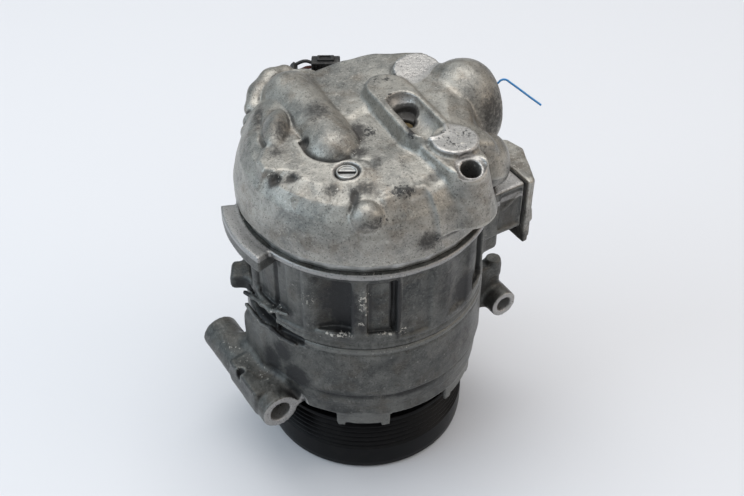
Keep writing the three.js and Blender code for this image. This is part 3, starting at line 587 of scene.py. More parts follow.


# Stains: where each one is, how far it reaches along x, y and z, and how strong it is. The dark spots are
# partly soot and partly painted shade, laid in bores, hollows and on shaded sides.
HEAD_SPOTS = {
    "soot_and_shade": [
        ((-21.4, 3, 197), (9, 11, 7), 0.8), ((-38, -8, 194), (7, 10, 7), 0.8),
        ((-40.5, -20, 192), (6, 6, 6), 0.9), ((-27.2, -14, 190.5), (3, 5, 4), 1.0),
        ((-3.2, -8, 190), (5, 12, 5), 1.1), ((-2, -22.6, 190), (6, 5, 3), 1.0),
        ((-15, -47, 190), (6, 5, 5), 0.9), ((-32.6, -37.4, 188), (5, 4, 4), 1.0),
        ((-40.5, -36, 185), (4, 4, 4), 1.4), ((3, -61, 180), (9, 4, 5), 0.8),
        ((-4, -51, 187), (3, 8, 5), 1.1), ((18, -48, 189), (8, 3.5, 4), 0.8),
        ((30, -57, 166), (9, 6, 7), 0.9), ((66, 16, 184), (13, 17, 18), 0.85),
        ((66, -8, 170), (9, 10, 8), 1.0), ((0, -46, 189), (9, 5, 5), 0.7),
        ((-35, 40, 197), (9, 12, 6), 0.4), ((23.4, -15, 197), (4, 6, 4), 1.5),
        ((-51, 12, 186), (4, 16, 6), 0.8), ((-51, 46, 184), (9, 14, 8), 0.4),
        # The spots in the port bores, on this line and the first of the next, are painted shadow inside the
        # bores.
        ((*PORT_1, 188), (5.6, 5.6, 7), 4), ((*PORT_1_MOUTH, 192), (5.8, 5.8, 4.8), 4),
        ((48.6, -38, 180), (5.6, 5.6, 9), 4), ((6, -30, 191), (4, 8, 4), 0.7),
        ((50, 22, 196), (5, 14, 6), 0.5),
    ],
    "chips": [
        ((13.4, 9.5, 199), (3.5, 6, 3), 1.0), ((9.4, 25.4, 199), (9, 5, 3), 0.7),
        ((23.2, -16, 197), (3.5, 6, 3), 1.2), ((42, -22, 198), (11, 11, 2), 0.5),
        ((47, -33, 192), (11, 11, 4), 0.4), ((18, -48, 189), (9, 5, 4), 0.8),
        ((-15, -45, 190), (9, 7, 4), 0.45), ((7, -58, 180), (10, 5, 5), 0.5),
        ((34, -55, 163), (9, 4, 6), 0.6), ((-21, 3, 197), (8, 8, 5), 0.45),
        ((2, -7, 191), (4, 6, 3), 1.0),
    ],
    "crust": [
        ((9, -63, 156.5), (13, 6, 5), 0.9), ((30, -57, 157), (4, 4, 4), 0.8),
        ((18, -47, 190), (10, 4, 4), 0.8), ((-12, -49, 189), (10, 5, 4), 0.6),
        ((-4, -20, 192), (5, 8, 4), 0.5), ((42, -22, 198), (12, 12, 2), 0.7),
        ((48, -36, 192), (12, 11, 4), 0.6), ((12, 12, 199.5), (12, 14, 2), 0.6),
        ((-42, -33, 187), (6, 4, 4), 0.8), ((5, -10, 191), (4, 9, 3), 0.7),
    ],
}


def rear_head():
    """The cast head: dome, lobes, ridge with its ports, two machined pads and all its bores."""
    at = Space((-70, -70, 153), (78, 78, 206), HEAD_STEP)
    body = left_rim(at, lobes(at, revolve(at, DOME)))
    body = blend(right_bulges(at, body), fan(at), 2.5)
    body = port_ridge(at, front_bosses(at, body))
    trough = capsule(at, (*TROUGH["start"], TROUGH["z"]), (*TROUGH["end"], TROUGH["z"]), TROUGH["r"])
    body = carve(body, trough, 0.7)
    body = body + lumps(at, 9, 0.55, 11) + lumps(at, 3.2, 0.2, 12)
    pad = peg(at, PAD, PAD_R, 185, PAD_TOP, 0.8)
    low_top = LOW_PAD_TOP + LOW_PAD_RISE * (at.y - LOW_PAD[1])
    low_pad = clip(peg(at, LOW_PAD, LOW_PAD_R, 185, 203, 0.6), at.z - low_top, 0.4)
    body = added(body, (pad, 2.2), (low_pad, 0.6))
    body = clip(body, ring(at, 74, 0, HEAD_LOW, 205))
    body = carve(body, np.maximum(63.8 - np.hypot(at.x, at.y), at.z - 166), 0.6)
    machined, cast = head_cuts(at)
    body = carve(carve(body, machined, 0.7), cast, 0.7)
    body = carve(body, barrel(at, WIRE_EXIT, WIRE_KNEE, 1), 0.2)
    body = carve(body, egg(at, (-32.4, -53.5, 183.5), (1.5, 1.5, 3)), 0.5)
    faces = [common(top - 0.7 - at.z, disc, 0) for top, disc in ((PAD_TOP, pad), (low_top, low_pad))]
    return skin("rear_head_casting", at, body, least([machined, trough + 0.5, *faces]), HEAD_SPOTS)


# ---- Cylinder block ------------------------------------------------------------------------------
CASE_STEP = 0.78
LEDGE = 110
SCOOP_AT = 75.5
SHALLOW_SCOOP_AT = 80.4
SHALLOW_SECTOR = 1  # the wall right of the front is almost plain


def pockets(at, body):
    """Between the bolts the wall is cored out: a deep scoop, a shallow pocket and a wide soft bay."""
    for i in range(CYLINDERS):
        spin = at.turned(bolt_angle(i))
        out = SHALLOW_SCOOP_AT if i == SHALLOW_SECTOR else SCOOP_AT
        scoop = clip(peg(spin, polar(out, -10.5), 20, LEDGE, 144.5), wedge(spin, -29, -5.2), 0.8)
        shallow = arc_block(spin, 59.4, 70, 2, 14.6, LEDGE + 1, 144.5)
        groove = arc_block(spin, 57.6, 70, 13.3, 15.3, LEDGE + 1, 144.5)
        bay = arc_block(spin, 61.2, 70, 17.8, 31, LEDGE - 2, 145.5)
        body = carve(carve(body, scoop, 2), blend(shallow, groove, 1), 1.2)
        body = carve(body, bay, 3)
        lip = bead(spin, [(*polar(60.9, a), LEDGE - 0.6) for a in (-21, -13, -5)], 1.1)
        other = bead(spin, [(*polar(61.1, a), LEDGE + 0.2) for a in (2, 8, 14)], 1.0)
        body = blend(body, np.minimum(lip, other), 0.8)
    return body


def corner_recesses(at):
    """Two small recesses across the seam, low on the left."""
    upper = prism(at, [(-64, -24), (-47, -46.5), (-41.5, -40), (-56, -20)], 96.5, 107.6, 0, 1)
    lower = prism(at, [(-46, -48.4), (-31.5, -57.4), (-28.5, -51), (-41.5, -42.5)], 95.6, 101.8, 0, 1)
    return np.minimum(upper, lower)


def left_corner(at, body):
    """The wavy flash line over the recesses beside the side lug."""
    body = carve(body, arc_block(at, 60.2, 72, -150, -129.5, LEDGE + 5, 143), 4)
    body = carve(body, corner_recesses(at), 1.2)
    flash = [
        (-60.6, -24, 104), (-56, -30.6, 107), (-50.6, -38.2, 109.4), (-46, -43.2, 109.6),
        (-42, -46.8, 112.6), (-37.4, -50, 113.6),
    ]
    return blend(body, bead(at, flash, 1.15), 0.8)


def muffler_block(at, body):
    """The block that carries the muffler: a flange, a dished front face with a bar, and a web below."""
    mount = at.turned(MOUNT_TURN)
    near, far, low, high = (MUFFLER[key] for key in ("near", "far", "low", "high"))
    block = box(mount, (MUFFLER["in"], near, low), (MUFFLER["out"], far, high), 1.2)
    front = box(mount, (53, near - 4, low + 3), (MUFFLER["out"] - 1.5, near + 1.4, high - 2.5), 1)
    bar = bead(mount, [(56, near + 1.6, 143), (65, near + 1.6, 149)], 1.1)
    block = blend(carve(block, front, 1), bar, 0.8)
    return added(body, (block, 2.5), (box(mount, (48, near + 8, 110), (61, far - 4, 130), 3), 4))


BLOCK_SPOTS = {
    # Dark spots: partly soot, partly painted shade, strongest in the deep scoops and the recesses by the
    # seam.
    "soot_and_shade": [
        ((-10, -58, 127), (8, 7, 20), 2.0), ((-16, -58, 127), (7, 6, 18), 1.0),
        ((16, -60, 128), (2, 4, 20), 2), ((55, -38, 140), (10, 10, 14), 0.7),
        ((50, -36, 118), (12, 14, 12), 1.0), ((40, -48, 128), (8, 8, 22), 0.6),
        ((-60, -22, 106), (10, 14, 5), 1.0), ((-50, -36, 103), (8, 8, 6), 2.2),
        ((5, -62, 128), (4, 4, 16), 0.6), ((-46, -42, 128), (6, 6, 14), 0.5),
        ((-1, -62, 118), (3, 4, 7), 0.8),
    ],
    "chips": [
        ((-1, -62, 128), (5, 4, 14), 0.7), ((20, -60, 110), (4, 4, 3), 0.7),
        ((-42, -47, 103), (9, 6, 4), 0.6),
    ],
    "crust": [
        ((0, -62, 132), (4, 4, 10), 1.0), ((19.5, -59, 110), (2.6, 3, 2.6), 1.4),
        ((-12, -61, 110), (9, 4, 1.8), 1.1), ((11, -62, 110.6), (6, 4, 1.6), 1.0),
        ((16, -62, 149), (6, 4, 2.6), 1.1), ((-28, -55, 130), (7, 4, 9), 0.8),
        ((-1, -62, 118.5), (2.6, 3, 3), 1.1), ((-46, -44, 112), (12, 9, 3), 0.7),
        ((4, -64, 151), (8, 3, 2), 0.9),
    ],
}


def cylinder_block():
    """The ribbed block with its side muffler, its lugs and its six bores."""
    at = Space((-73, -74, 98), (82, 72, 170), CASE_STEP)
    mount = at.turned(MOUNT_TURN)
    body = revolve(at, [
        (0, SEAM + 0.1), (BODY_R - 0.9, SEAM + 0.1), (BODY_R, SEAM + 1.2), (BODY_R, 103.6),
        (BODY_R - 0.6, 104.4), (BODY_R - 0.6, 105), (BODY_R, 105.8), (BODY_R, 147), (63.5, 148),
        (63.5, BLOCK_TOP - 0.5), (63, BLOCK_TOP), (0, BLOCK_TOP),
    ])
    body = muffler_block(at, left_corner(at, pockets(at, body)))
    lug = clip(arc_block(at, 58, 71.0, -171, -134, 142, BLOCK_TOP), slab(at, 141, 150.9), 1.2)
    side_lug = box(at, (-68.5, -20, SEAM + 1.4), (-56, -6, 110.5), 2.5)
    body = added(body, (lug, 1.2), (side_lug, 3)) + lumps(at, 8, 0.45, 21) + lumps(at, 3, 0.16, 22)
    near, far, low, high, out = (MUFFLER[key] for key in ("near", "far", "low", "high", "out"))
    rough = [
        ring(at, CRANK_R, 0, 97, 106), ring(at, 64.4, 0, BLOCK_TOP, 171),
        box(mount, (57, near + 6, low + 5), (out + 2, far - 6, high - 5), 2),
        at.z - SEAM - 0.1 + 0 * at.x + 0 * at.y,
    ]
    machined = [
        ring(at, NOSE_BORE, 0, 97, 133), barrel(at, (0, 0, 130), (0, 0, 152), 4),
        np.maximum(out - mount.x + 0 * at.z, 120 - at.z),
    ]
    for i in range(CYLINDERS):
        machined.append(peg(at, polar(BORE_CIRCLE, bore_angle(i)), BORE_R, 97, 152))
        machined.append(peg(at, polar(BOLT_CIRCLE, bolt_angle(i)), BOLT_HOLE, 97, 152))
    machined = least(machined)
    body = carve(carve(body, machined, 0.6), least(rough), 0.5)
    flange = np.abs(at.z - high) + np.maximum(48 - mount.x, 0)
    rim = 0.45 + common(np.abs(at.z - 149.4) - 1.8, 62.6 - np.hypot(at.x, at.y), 0)
    return skin("cylinder_block_casting", at, body, least([machined, flange, rim]), BLOCK_SPOTS)


# ---- Front housing -------------------------------------------------------------------------------
def mount_arms(at):
    """The long mounting tube with its pad and web, and the short ear opposite."""
    mount = at.turned(MOUNT_TURN)
    x, near, far, z = TUBE["x"], TUBE["near"], TUBE["far"], TUBE["z"]
    tube = barrel(mount, (x, near, z), (x, far, z), TUBE["r"])
    tube = clip(tube, box(mount, (-90, near, 30), (-50, far, 90)), 1.0)
    web = box(mount, (x + 2, near + 8, 51), (-54, 27, 60), 2)
    wall = box(mount, (x + 4, -6, 52), (-55, 20, 84), 3)
    pad = box(mount, (x - 10.2, -17.6, 45), (x + 9.6, 12.6, 61), 1.6)
    arms = blend(blend(blend(tube, web, 5), wall, 6), pad, 1.4)
    arms = carve(arms, egg(mount, (x - 8.6, 1.6, 59.5), (2.2, 2.2, 4)), 0.6)
    ear = barrel(mount, (EAR["x"], EAR["near"], EAR["z"]), (EAR["x"], EAR["far"], EAR["z"]), EAR["r"])
    ear_web = box(mount, (57, EAR["near"] + 9, 54), (EAR["x"] + 3, EAR["far"] - 1.4, 84), 2)
    lobe = peg(mount, (EAR["x"] - 0.6, EAR["far"] - 6), 4.2, 76, 86, 1)
    return np.minimum(arms, blend(blend(ear, ear_web, 3), lobe, 2))


HOUSING_SPOTS = {
    # Dark spots: partly soot, partly painted shade, strongest between the tube and the housing and in the
    # recesses by the seam.
    "soot_and_shade": [
        ((-35, -52, 71), (9, 8, 9), 1.3), ((-42, -47, 84), (8, 8, 9), 1.0),
        ((-46, -40, 72), (8, 8, 12), 1.0), ((-10, -60, 66), (30, 8, 3), 0.8),
        ((25, -56, 64.5), (26, 12, 3), 0.8), ((-66, -38, 57), (3, 3, 3), 0.8),
        ((58, 10, 70), (12, 14, 14), 0.8), ((-38, -48, 98.5), (12, 9, 3), 2.2),
        ((-52, -34, 98.5), (9, 9, 3), 2.2), ((50, -36, 84), (14, 14, 16), 0.45),
        ((62, 26, 64), (10, 14, 14), 1.0),
    ],
    "crust": [
        ((-60, -30, 60), (12, 12, 6), 0.5), ((10, -61, 99), (4, 4, 3), 0.6),
        ((-50, -42, 61), (5, 5, 5), 0.6), ((19.7, -59, 99.9), (3, 3, 2), 1.2),
        ((-50, -38, 94), (12, 10, 1.6), 0.9), ((-70, -14, 58), (10, 14, 5), 0.5),
    ],
    "chips": [((-16, -59, 66), (5, 4, 3), 0.9), ((-50, -48, 60), (6, 6, 4), 0.5)],
}


def mount_hole(mount, size):
    """The bolt hole through the tube or the ear, open past both ends."""
    x, near, far, z = (size[key] for key in ("x", "near", "far", "z"))
    return barrel(mount, (x, near - 9, z), (x, far + 9, z), size["bore"])


def front_housing():
    """The housing: seam, smooth wall, tabbed skirt, bearing nose and the two mountings."""
    at = Space((-90, -68, 10), (90, 72, 103), CASE_STEP)
    mount = at.turned(MOUNT_TURN)
    body = revolve(at, [
        (NOSE_BORE, 12.9), (16.1, 12.9), (16.1, 14.8), (17.4, 14.8), (17.4, 41), (23, 44.5),
        (SKIRT_INNER, 50), (SKIRT_R, 50), (SKIRT_R, 57.2), (60.2, 57.8), (61, 58.6), (61, 64.4),
        (60.4, 64.8), (60.4, 65.6), (61.6, 66.4), (BODY_R, 67.6), (BODY_R, 95.8), (BODY_R - 0.6, 96.4),
        (BODY_R - 0.6, 97), (BODY_R, 97.6), (BODY_R, 99.2), (61.4, SEAM), (59.6, SEAM), (59.6, 98.3),
        (57.2, 98.3), (57.2, SEAM), (CRANK_R, SEAM), (CRANK_R, 65), (48, 60), (NOSE_BORE, 60),
    ])
    for i in range(CYLINDERS):
        spin = at.turned(bolt_angle(i))
        tab = arc_block(spin, 57, 59.8, -13.5, 13.5, 43.2, 51)
        for start, end in ((-13.3, -9), (9, 13.3)):
            tab = np.minimum(tab, arc_block(spin, 57.1, 59.7, start, end, 40.6, 44))
        body = blend(body, tab, 0.8)
    flash = [
        (-60.4, -24, 95.4), (-51.6, -37.2, 94.4), (-46.4, -43, 97), (-41.6, -47.2, 94.8),
        (-34.4, -52.6, 95.2),
    ]
    body = carve(body, corner_recesses(at), 1.2)
    body = added(body, (bead(at, flash, 1.1), 0.8), (mount_arms(at), 5))
    body = body + lumps(at, 8, 0.4, 31) + lumps(at, 3, 0.16, 32)
    off_tube = np.hypot(mount.x - TUBE["x"], at.z - TUBE["z"]) - 14
    off_ear = np.hypot(mount.x - EAR["x"], at.z - EAR["z"]) - 12
    machined = [
        mount_hole(mount, TUBE), mount_hole(mount, EAR), np.maximum(off_tube, mount.y - TUBE["near"]),
        np.maximum(off_tube, TUBE["far"] - mount.y), np.maximum(off_ear, mount.y - EAR["near"]),
    ]
    for i in range(CYLINDERS):
        centre = polar(BOLT_CIRCLE, bolt_angle(i))
        machined.append(peg(at, centre, BOLT_HOLE, 40, 104))
        machined.append(peg(at, centre, 6, 40, 51))
    machined = least(machined)
    body = np.maximum(carve(body, machined, 0.6), at.z - SEAM)
    return skin("front_housing_casting", at, body, machined, HOUSING_SPOTS)


# ---- Muffler cover and gasket --------------------------------------------------------------------
def cover_outline(inner, shrink=0.0):
    """The cover seen along the shaft: [distance out, distance along], drawn in by shrink."""
    near, far = MUFFLER["near"] - 1.4 + shrink, MUFFLER["far"] + 2.8 - shrink
    outer = COVER["inner"] + COVER["depth"]
    return [
        (inner, near), (COVER["inner"] + COVER["lip"], near), (outer, near + 23.6), (outer - 2, far - 5),
        (outer - 7.6, far), (inner, far),
    ]


COVER_SPOTS = {
    # Dark spots: partly soot, partly painted shade, low on the cover.
    "soot_and_shade": [((76, 0, 120), (16, 16, 9), 0.9), ((80, -4, 134), (5, 7, 12), 0.7)],
    "crust": [((70, 16, 156), (16, 18, 5), 0.5)],
}


def muffler_cover():
    """A cast dome on a flat rim, with a groove between them, a small lug and a dished back."""
    at = Space((52, -8, 113), (90, 44, 161), 0.55)
    mount = at.turned(MOUNT_TURN)
    inner, low, high = COVER["inner"], COVER["low"], COVER["high"]
    dome = prism(mount, cover_outline(inner, 1.2), low + 0.8, high, 0, 2.6)
    rim = prism(mount, cover_outline(inner), low, high - 0.2, 0, 1.2)
    rim = clip(rim, mount.x - inner - 3.4 + 0 * at.z, 0.8)
    lug = bead(mount, [(inner + 6, -40, 128), (inner + 10, -35, 128)], 2.2)
    body = added(dome, (rim, 1.0), (lug, 1.2))
    body = carve(body, bead(mount, [(inner + 2, -45.6, 126), (inner + 6, -43.6, 131)], 1.2), 1.0)
    body = body + lumps(at, 7, 0.4, 41) + lumps(at, 2.6, 0.14, 42)
    near, far = MUFFLER["near"] + 5, MUFFLER["far"] - 5
    dish = box(mount, (inner - 3, near, low + 5), (inner + 5, far, high - 5), 1.5)
    body = carve(body, np.minimum(dish, mount.x - inner + 0 * at.z), 0.4)
    return skin("muffler_cover_casting", at, body, None, COVER_SPOTS)


def muffler_gasket():
    """A thin pressed sheet with a window, its edge squeezed out a little unevenly."""
    at = Space((52, -8, 124), (86, 40, 160), 0.4)
    mount = at.turned(MOUNT_TURN)
    low = MUFFLER["out"] + 0.2
    sheet = box(mount, (low, MUFFLER["near"] + 0.4, MUFFLER["low"] + 0.4),
                (low + 0.75, MUFFLER["far"] - 0.4, MUFFLER["high"] - 0.4))
    faces = np.maximum(low - mount.x, mount.x - low - 0.75) + 0 * at.z
    edge = clip(sheet + lumps(at, 6, 0.4, 45), faces, 0.2)
    window = box(mount, (low - 2, -37.2, 133), (low + 3, -12, 151), 1)
    return skin("muffler_gasket_sheet", at, carve(edge, window, 0.2))


# ---- Small pieces --------------------------------------------------------------------------------
FINE = 0.25


def slotted_plug():
    """A round screw plug with a raised rim and a driver slot."""
    x, y = PLUG
    top = 190
    at = Space((x - 6.5, y - 6.5, 175), (x + 6.5, y + 6.5, 192), FINE)
    disc = peg(at, PLUG, 5, 176.3, top, 0.7)
    body = carve(disc, peg(at, PLUG, 4.1, top - 0.7, 193, 0.3), 0.3)
    slot = box(at, (x - 4.6, y - 0.9, top - 2.8), (x + 4.6, y + 0.9, 194), 0.2)
    rim = carve(disc, peg(at, PLUG, 4.2, top - 1, 193), 0.3)
    body = np.minimum(carve(body, slot, 0.4), np.maximum(rim, slab(at, top - 1.2, 192)))
    return skin("slotted_plug_body", at, body)


def hub_bolt():
    """A hexagon head on a washer face, with a dimple on top of the head."""
    at = Space((-11, -11, -1), (11, 11, 21), FINE)
    faces = [polar(1, 30 + 60 * k) for k in range(6)]
    hexagon = -least([-(at.x * x + at.y * y) for x, y in faces]) - 7.6
    head = clip(hexagon, slab(at, 0, 3.2), 0.5)
    head = clip(head, np.hypot(at.x, at.y) - 8.6 - 0.6 * at.z, 0.4)
    body = blend(head, peg(at, (0, 0), 8.6, 3.0, 4.3, 0.5), 0.3)
    body = np.minimum(body, peg(at, (0, 0), 3, 4, 20, 0.4))
    return skin("hub_bolt_body", at, carve(body, egg(at, (0, 0, -0.2), (4.2, 4.2, 0.9)), 0.3))


def wiring_connector():
    """A moulded plug housing with a latch, ribs and a collar round its leads."""
    at = Space((-29, 61, 176), (-10, 72, 188), FINE)
    body = box(at, (-27, 62.6, 177.4), (-12, 70.4, 185.2), 0.7)
    body = blend(body, box(at, (-24, 64.2, 184.5), (-15, 68.8, 186.6), 0.5), 0.4)
    body = carve(body, box(at, (-22.6, 65.2, 185.6), (-17, 67.8, 188), 0.3), 0.2)
    for x in (-25.2, -23.4, -21.6):
        body = carve(body, box(at, (x - 0.4, 61, 178.6), (x + 0.4, 63.2, 184), 0.2), 0.2)
    body = carve(body, box(at, (-13, 63.8, 178.6), (-9, 69.2, 184), 0.4), 0.2)
    return skin("wiring_connector_body", at, body)


def valve_solenoid():
    """The valve's round can with its crimped end and the angled boot that its leads leave by."""
    at = Space((-43, 41, 160), (-19, 69, 187), 0.35)
    x, z = VALVE["x"], VALVE["z"]
    body = barrel(at, (x, VALVE["split"] + 0.1, z), (x, VALVE["back"], z), VALVE["solenoid"])
    ends = np.maximum(VALVE["split"] + 0.1 - at.y, at.y - VALVE["back"]) + 0 * at.x + 0 * at.z
    body = clip(body, ends, 1)
    off = np.hypot(at.x - x, at.z - z) + 0 * at.y
    groove = np.maximum(np.abs(at.y - 55.5) - 0.7, 9.2 - off)
    body = carve(body, groove, 0.3)
    boot = clip(box(at, (-38.2, 58, 174), (-34.2, 66.8, 184.4), 0.8),
                (at.z - 184) + 0.9 * np.abs(at.x + 36.2) + 0 * at.y, 0.5)
    body = blend(body, boot, 0.8)
    return skin("valve_solenoid_body", at, carve(body, barrel(at, (x, 40, z), (x, 52, z), 2.5), 0.2))


def rounded(outline, reach):
    """A closed outline with each corner turned into a short curve."""
    points = []
    for before, here, after in zip(outline[-1:] + outline[:-1], outline, outline[1:] + outline[:1]):
        here = Vector(here)
        back, ahead = Vector(before) - here, Vector(after) - here
        a = here + back.normalized() * min(reach, back.length * 0.45)
        b = here + ahead.normalized() * min(reach, ahead.length * 0.45)
        for t in (0, 0.25, 0.5, 0.75, 1):
            points.append(tuple(a * (1 - t) ** 2 + here * 2 * t * (1 - t) + b * t ** 2))
    return points


def lathed(name, outline, reach=0.4, around=144):
    """A ring turned about the shaft from a closed outline of [radius, height] points."""
    outline = rounded(outline, reach)
    angles = np.linspace(0, 2 * math.pi, around, endpoint=False)
    radius, height = np.array(outline).T
    points = np.stack([
        np.outer(np.cos(angles), radius), np.outer(np.sin(angles), radius),
        np.broadcast_to(height, (around, len(outline))),
    ], axis=-1).reshape(-1, 3) * MM
    count = len(outline)
    faces = []
    for i in range(around):
        here, beside = i * count, (i + 1) % around * count
        for k in range(count):
            after = (k + 1) % count
            faces.append((here + k, beside + k, beside + after, here + after))
    mesh = bpy.data.meshes.new(name)
    mesh.from_pydata(points.tolist(), [], faces)
    mesh.shade_smooth()
    mesh.set_sharp_from_angle(angle=math.radians(50))
    return linked(bpy.data.objects.new(name, mesh))


GROOVE = {"pitch": 3.56, "depth": 2.6, "first": 16.4, "count": 6, "land": 0.5}


def pulley():
    """The six-groove pulley, with its dished web and bearing seat."""
    edge, wide = 55, GROOVE["pitch"] - GROOVE["land"]
    outline = [(24.8, 12.4), (47, 12.4), (47, 1), (48, 0), (53, 0), (54.6, 1.6), (edge, 5)]
    for i in range(GROOVE["count"]):
        z = GROOVE["first"] + i * GROOVE["pitch"]
        outline += [(edge, z), (edge - GROOVE["depth"], z + wide / 2), (edge, z + wide)]
    outline += [(54.4, 39), (49, 39), (47.6, 18), (30, 18), (30, 36), (26.2, 36), (26.2, 14.6), (24.8, 14.6)]
    return lathed("pulley_turned", outline)


def hub_damper():
    """The rubber ring between hub plate and pulley, with a shallow groove in its face."""
    return lathed("hub_damper_ring", [
        (38.3, 3.8), (39.4, 2.8), (41, 2.8), (41.6, 3.4), (43.4, 3.4), (44, 2.8), (45.6, 2.8),
        (46.7, 3.8), (46.7, 11.8), (38.3, 11.8),
    ])


def hub_plate():
    """The pressed hub plate, with three rivets and a raised boss."""
    at = Space((-39.5, -39.5, 3), (39.5, 39.5, 13), 0.5)
    body = revolve(at, [
        (6.3, 4.6), (14, 4.6), (22, 6.2), (38, 6.2), (38, 9.4), (20, 9.4), (13, 11.8), (6.3, 11.8),
    ])
    body = clip(body, slab(at, 4.6, 11.8), 0.4)
    for k in range(3):
        x, y = polar(29, 90 + 120 * k)
        body = blend(body, egg(at, (x, y, 6.3), (3.4, 3.4, 1.6)), 0.4)
        x, y = polar(29, 150 + 120 * k)
        body = carve(body, peg(at, (x, y), 4.4, 3, 13), 0.5)
    return skin("hub_plate_pressed", at, body)


# ---- Materials -----------------------------------------------------------------------------------
class Nodes:
    """Shader nodes, built link by link."""

    def __init__(self, tree):
        self.tree = tree

    def add(self, kind, **values):
        node = self.tree.nodes.new(kind)
        for key, value in values.items():
            setattr(node, key, value)
        return node

    def link(self, value, socket):
        if hasattr(value, "is_output"):
            self.tree.links.new(value, socket)
        else:
            socket.default_value = value

    def math(self, kind, a, b=0.0, clamp=False):
        node = self.add("ShaderNodeMath", operation=kind, use_clamp=clamp)
        self.link(a, node.inputs[0])
        self.link(b, node.inputs[1])
        return node.outputs[0]

    def times(self, a, b):
        return self.math("MULTIPLY", a, b)

    def plus(self, a, b):
        return self.math("ADD", a, b)

    def remap(self, value, kind, spans):
        """Spans are the From Min, From Max, To Min and To Max of a map range."""
        node = self.add("ShaderNodeMapRange", interpolation_type=kind)
        self.link(value, node.inputs["Value"])
        for key, limit in zip(("From Min", "From Max", "To Min", "To Max"), spans):
            node.inputs[key].default_value = limit
        return node.outputs["Result"]

    def step(self, value, low, high, to_low=0.0, to_high=1.0):
        """0 below low and 1 above high, smooth between, unless other ends are given."""
        return self.remap(value, "SMOOTHSTEP", (low, high, to_low, to_high))

    def scale(self, value, low, high):
        """A value from 0 to 1, stretched to run from low to high."""
        return self.remap(value, "LINEAR", (0, 1, low, high))

    def mix(self, share, a, b):
        node = self.add("ShaderNodeMix", data_type="RGBA")
        self.link(share, node.inputs[0])
        for value, socket in ((a, node.inputs[6]), (b, node.inputs[7])):
            self.link((*value, 1) if isinstance(value, tuple) else value, socket)
        return node.outputs[2]

    def tint(self, colour, other, share, strength):
        """The colour with some of the other laid over it."""
        return self.mix(self.times(share, strength), colour, other)


class Look(Nodes):
    """A node material, with sizes in millimetres."""

    def __init__(self, name):
        self.material = bpy.data.materials.new(name)
        self.material.use_nodes = True
        super().__init__(self.material.node_tree)
        self.shader = self.tree.nodes["Principled BSDF"]
        self.place = self.add("ShaderNodeTexCoord").outputs["Object"]

    def noise(self, size_mm, detail=3.0, rough=0.55, stretch=None, seed=0.0, warp=0.0):
        """Noise from 0 to 1 with features about size_mm across."""
        node = self.add("ShaderNodeTexNoise", noise_dimensions="4D")
        values = (1 / (size_mm * MM), detail, rough, seed, warp)
        for key, value in zip(("Scale", "Detail", "Roughness", "W", "Distortion"), values):
            node.inputs[key].default_value = value
        source = self.place
        if stretch:
            mapping = self.add("ShaderNodeMapping")
            mapping.inputs["Scale"].default_value = stretch
            self.link(self.place, mapping.inputs["Vector"])
            source = mapping.outputs["Vector"]
        self.link(source, node.inputs["Vector"])
        return node.outputs["Fac"]

    def attribute(self, name):
        return self.add("ShaderNodeAttribute", attribute_name=name).outputs["Fac"]

    def bumps(self, *layers):
        """Stacks (height, depth in mm) layers of relief."""
        normal = None
        for height, depth in layers:
            node = self.add("ShaderNodeBump")
            node.inputs["Distance"].default_value = depth * MM
            self.link(height, node.inputs["Height"])
            if normal is not None:
                self.link(normal, node.inputs["Normal"])
            normal = node.outputs["Normal"]
        self.link(normal, self.shader.inputs["Normal"])

    def finish(self, colour, roughness, metallic):
        self.link(colour, self.shader.inputs["Base Color"])
        self.link(roughness, self.shader.inputs["Roughness"])
        self.link(metallic, self.shader.inputs["Metallic"])
        return self.material


CUT_METAL = (0.42, 0.41, 0.40)
CRUST = (0.60, 0.57, 0.51)
BARE_PIT = (0.012, 0.011, 0.011)
RECESS_OIL_AND_SHADE = (0.02, 0.018, 0.016)


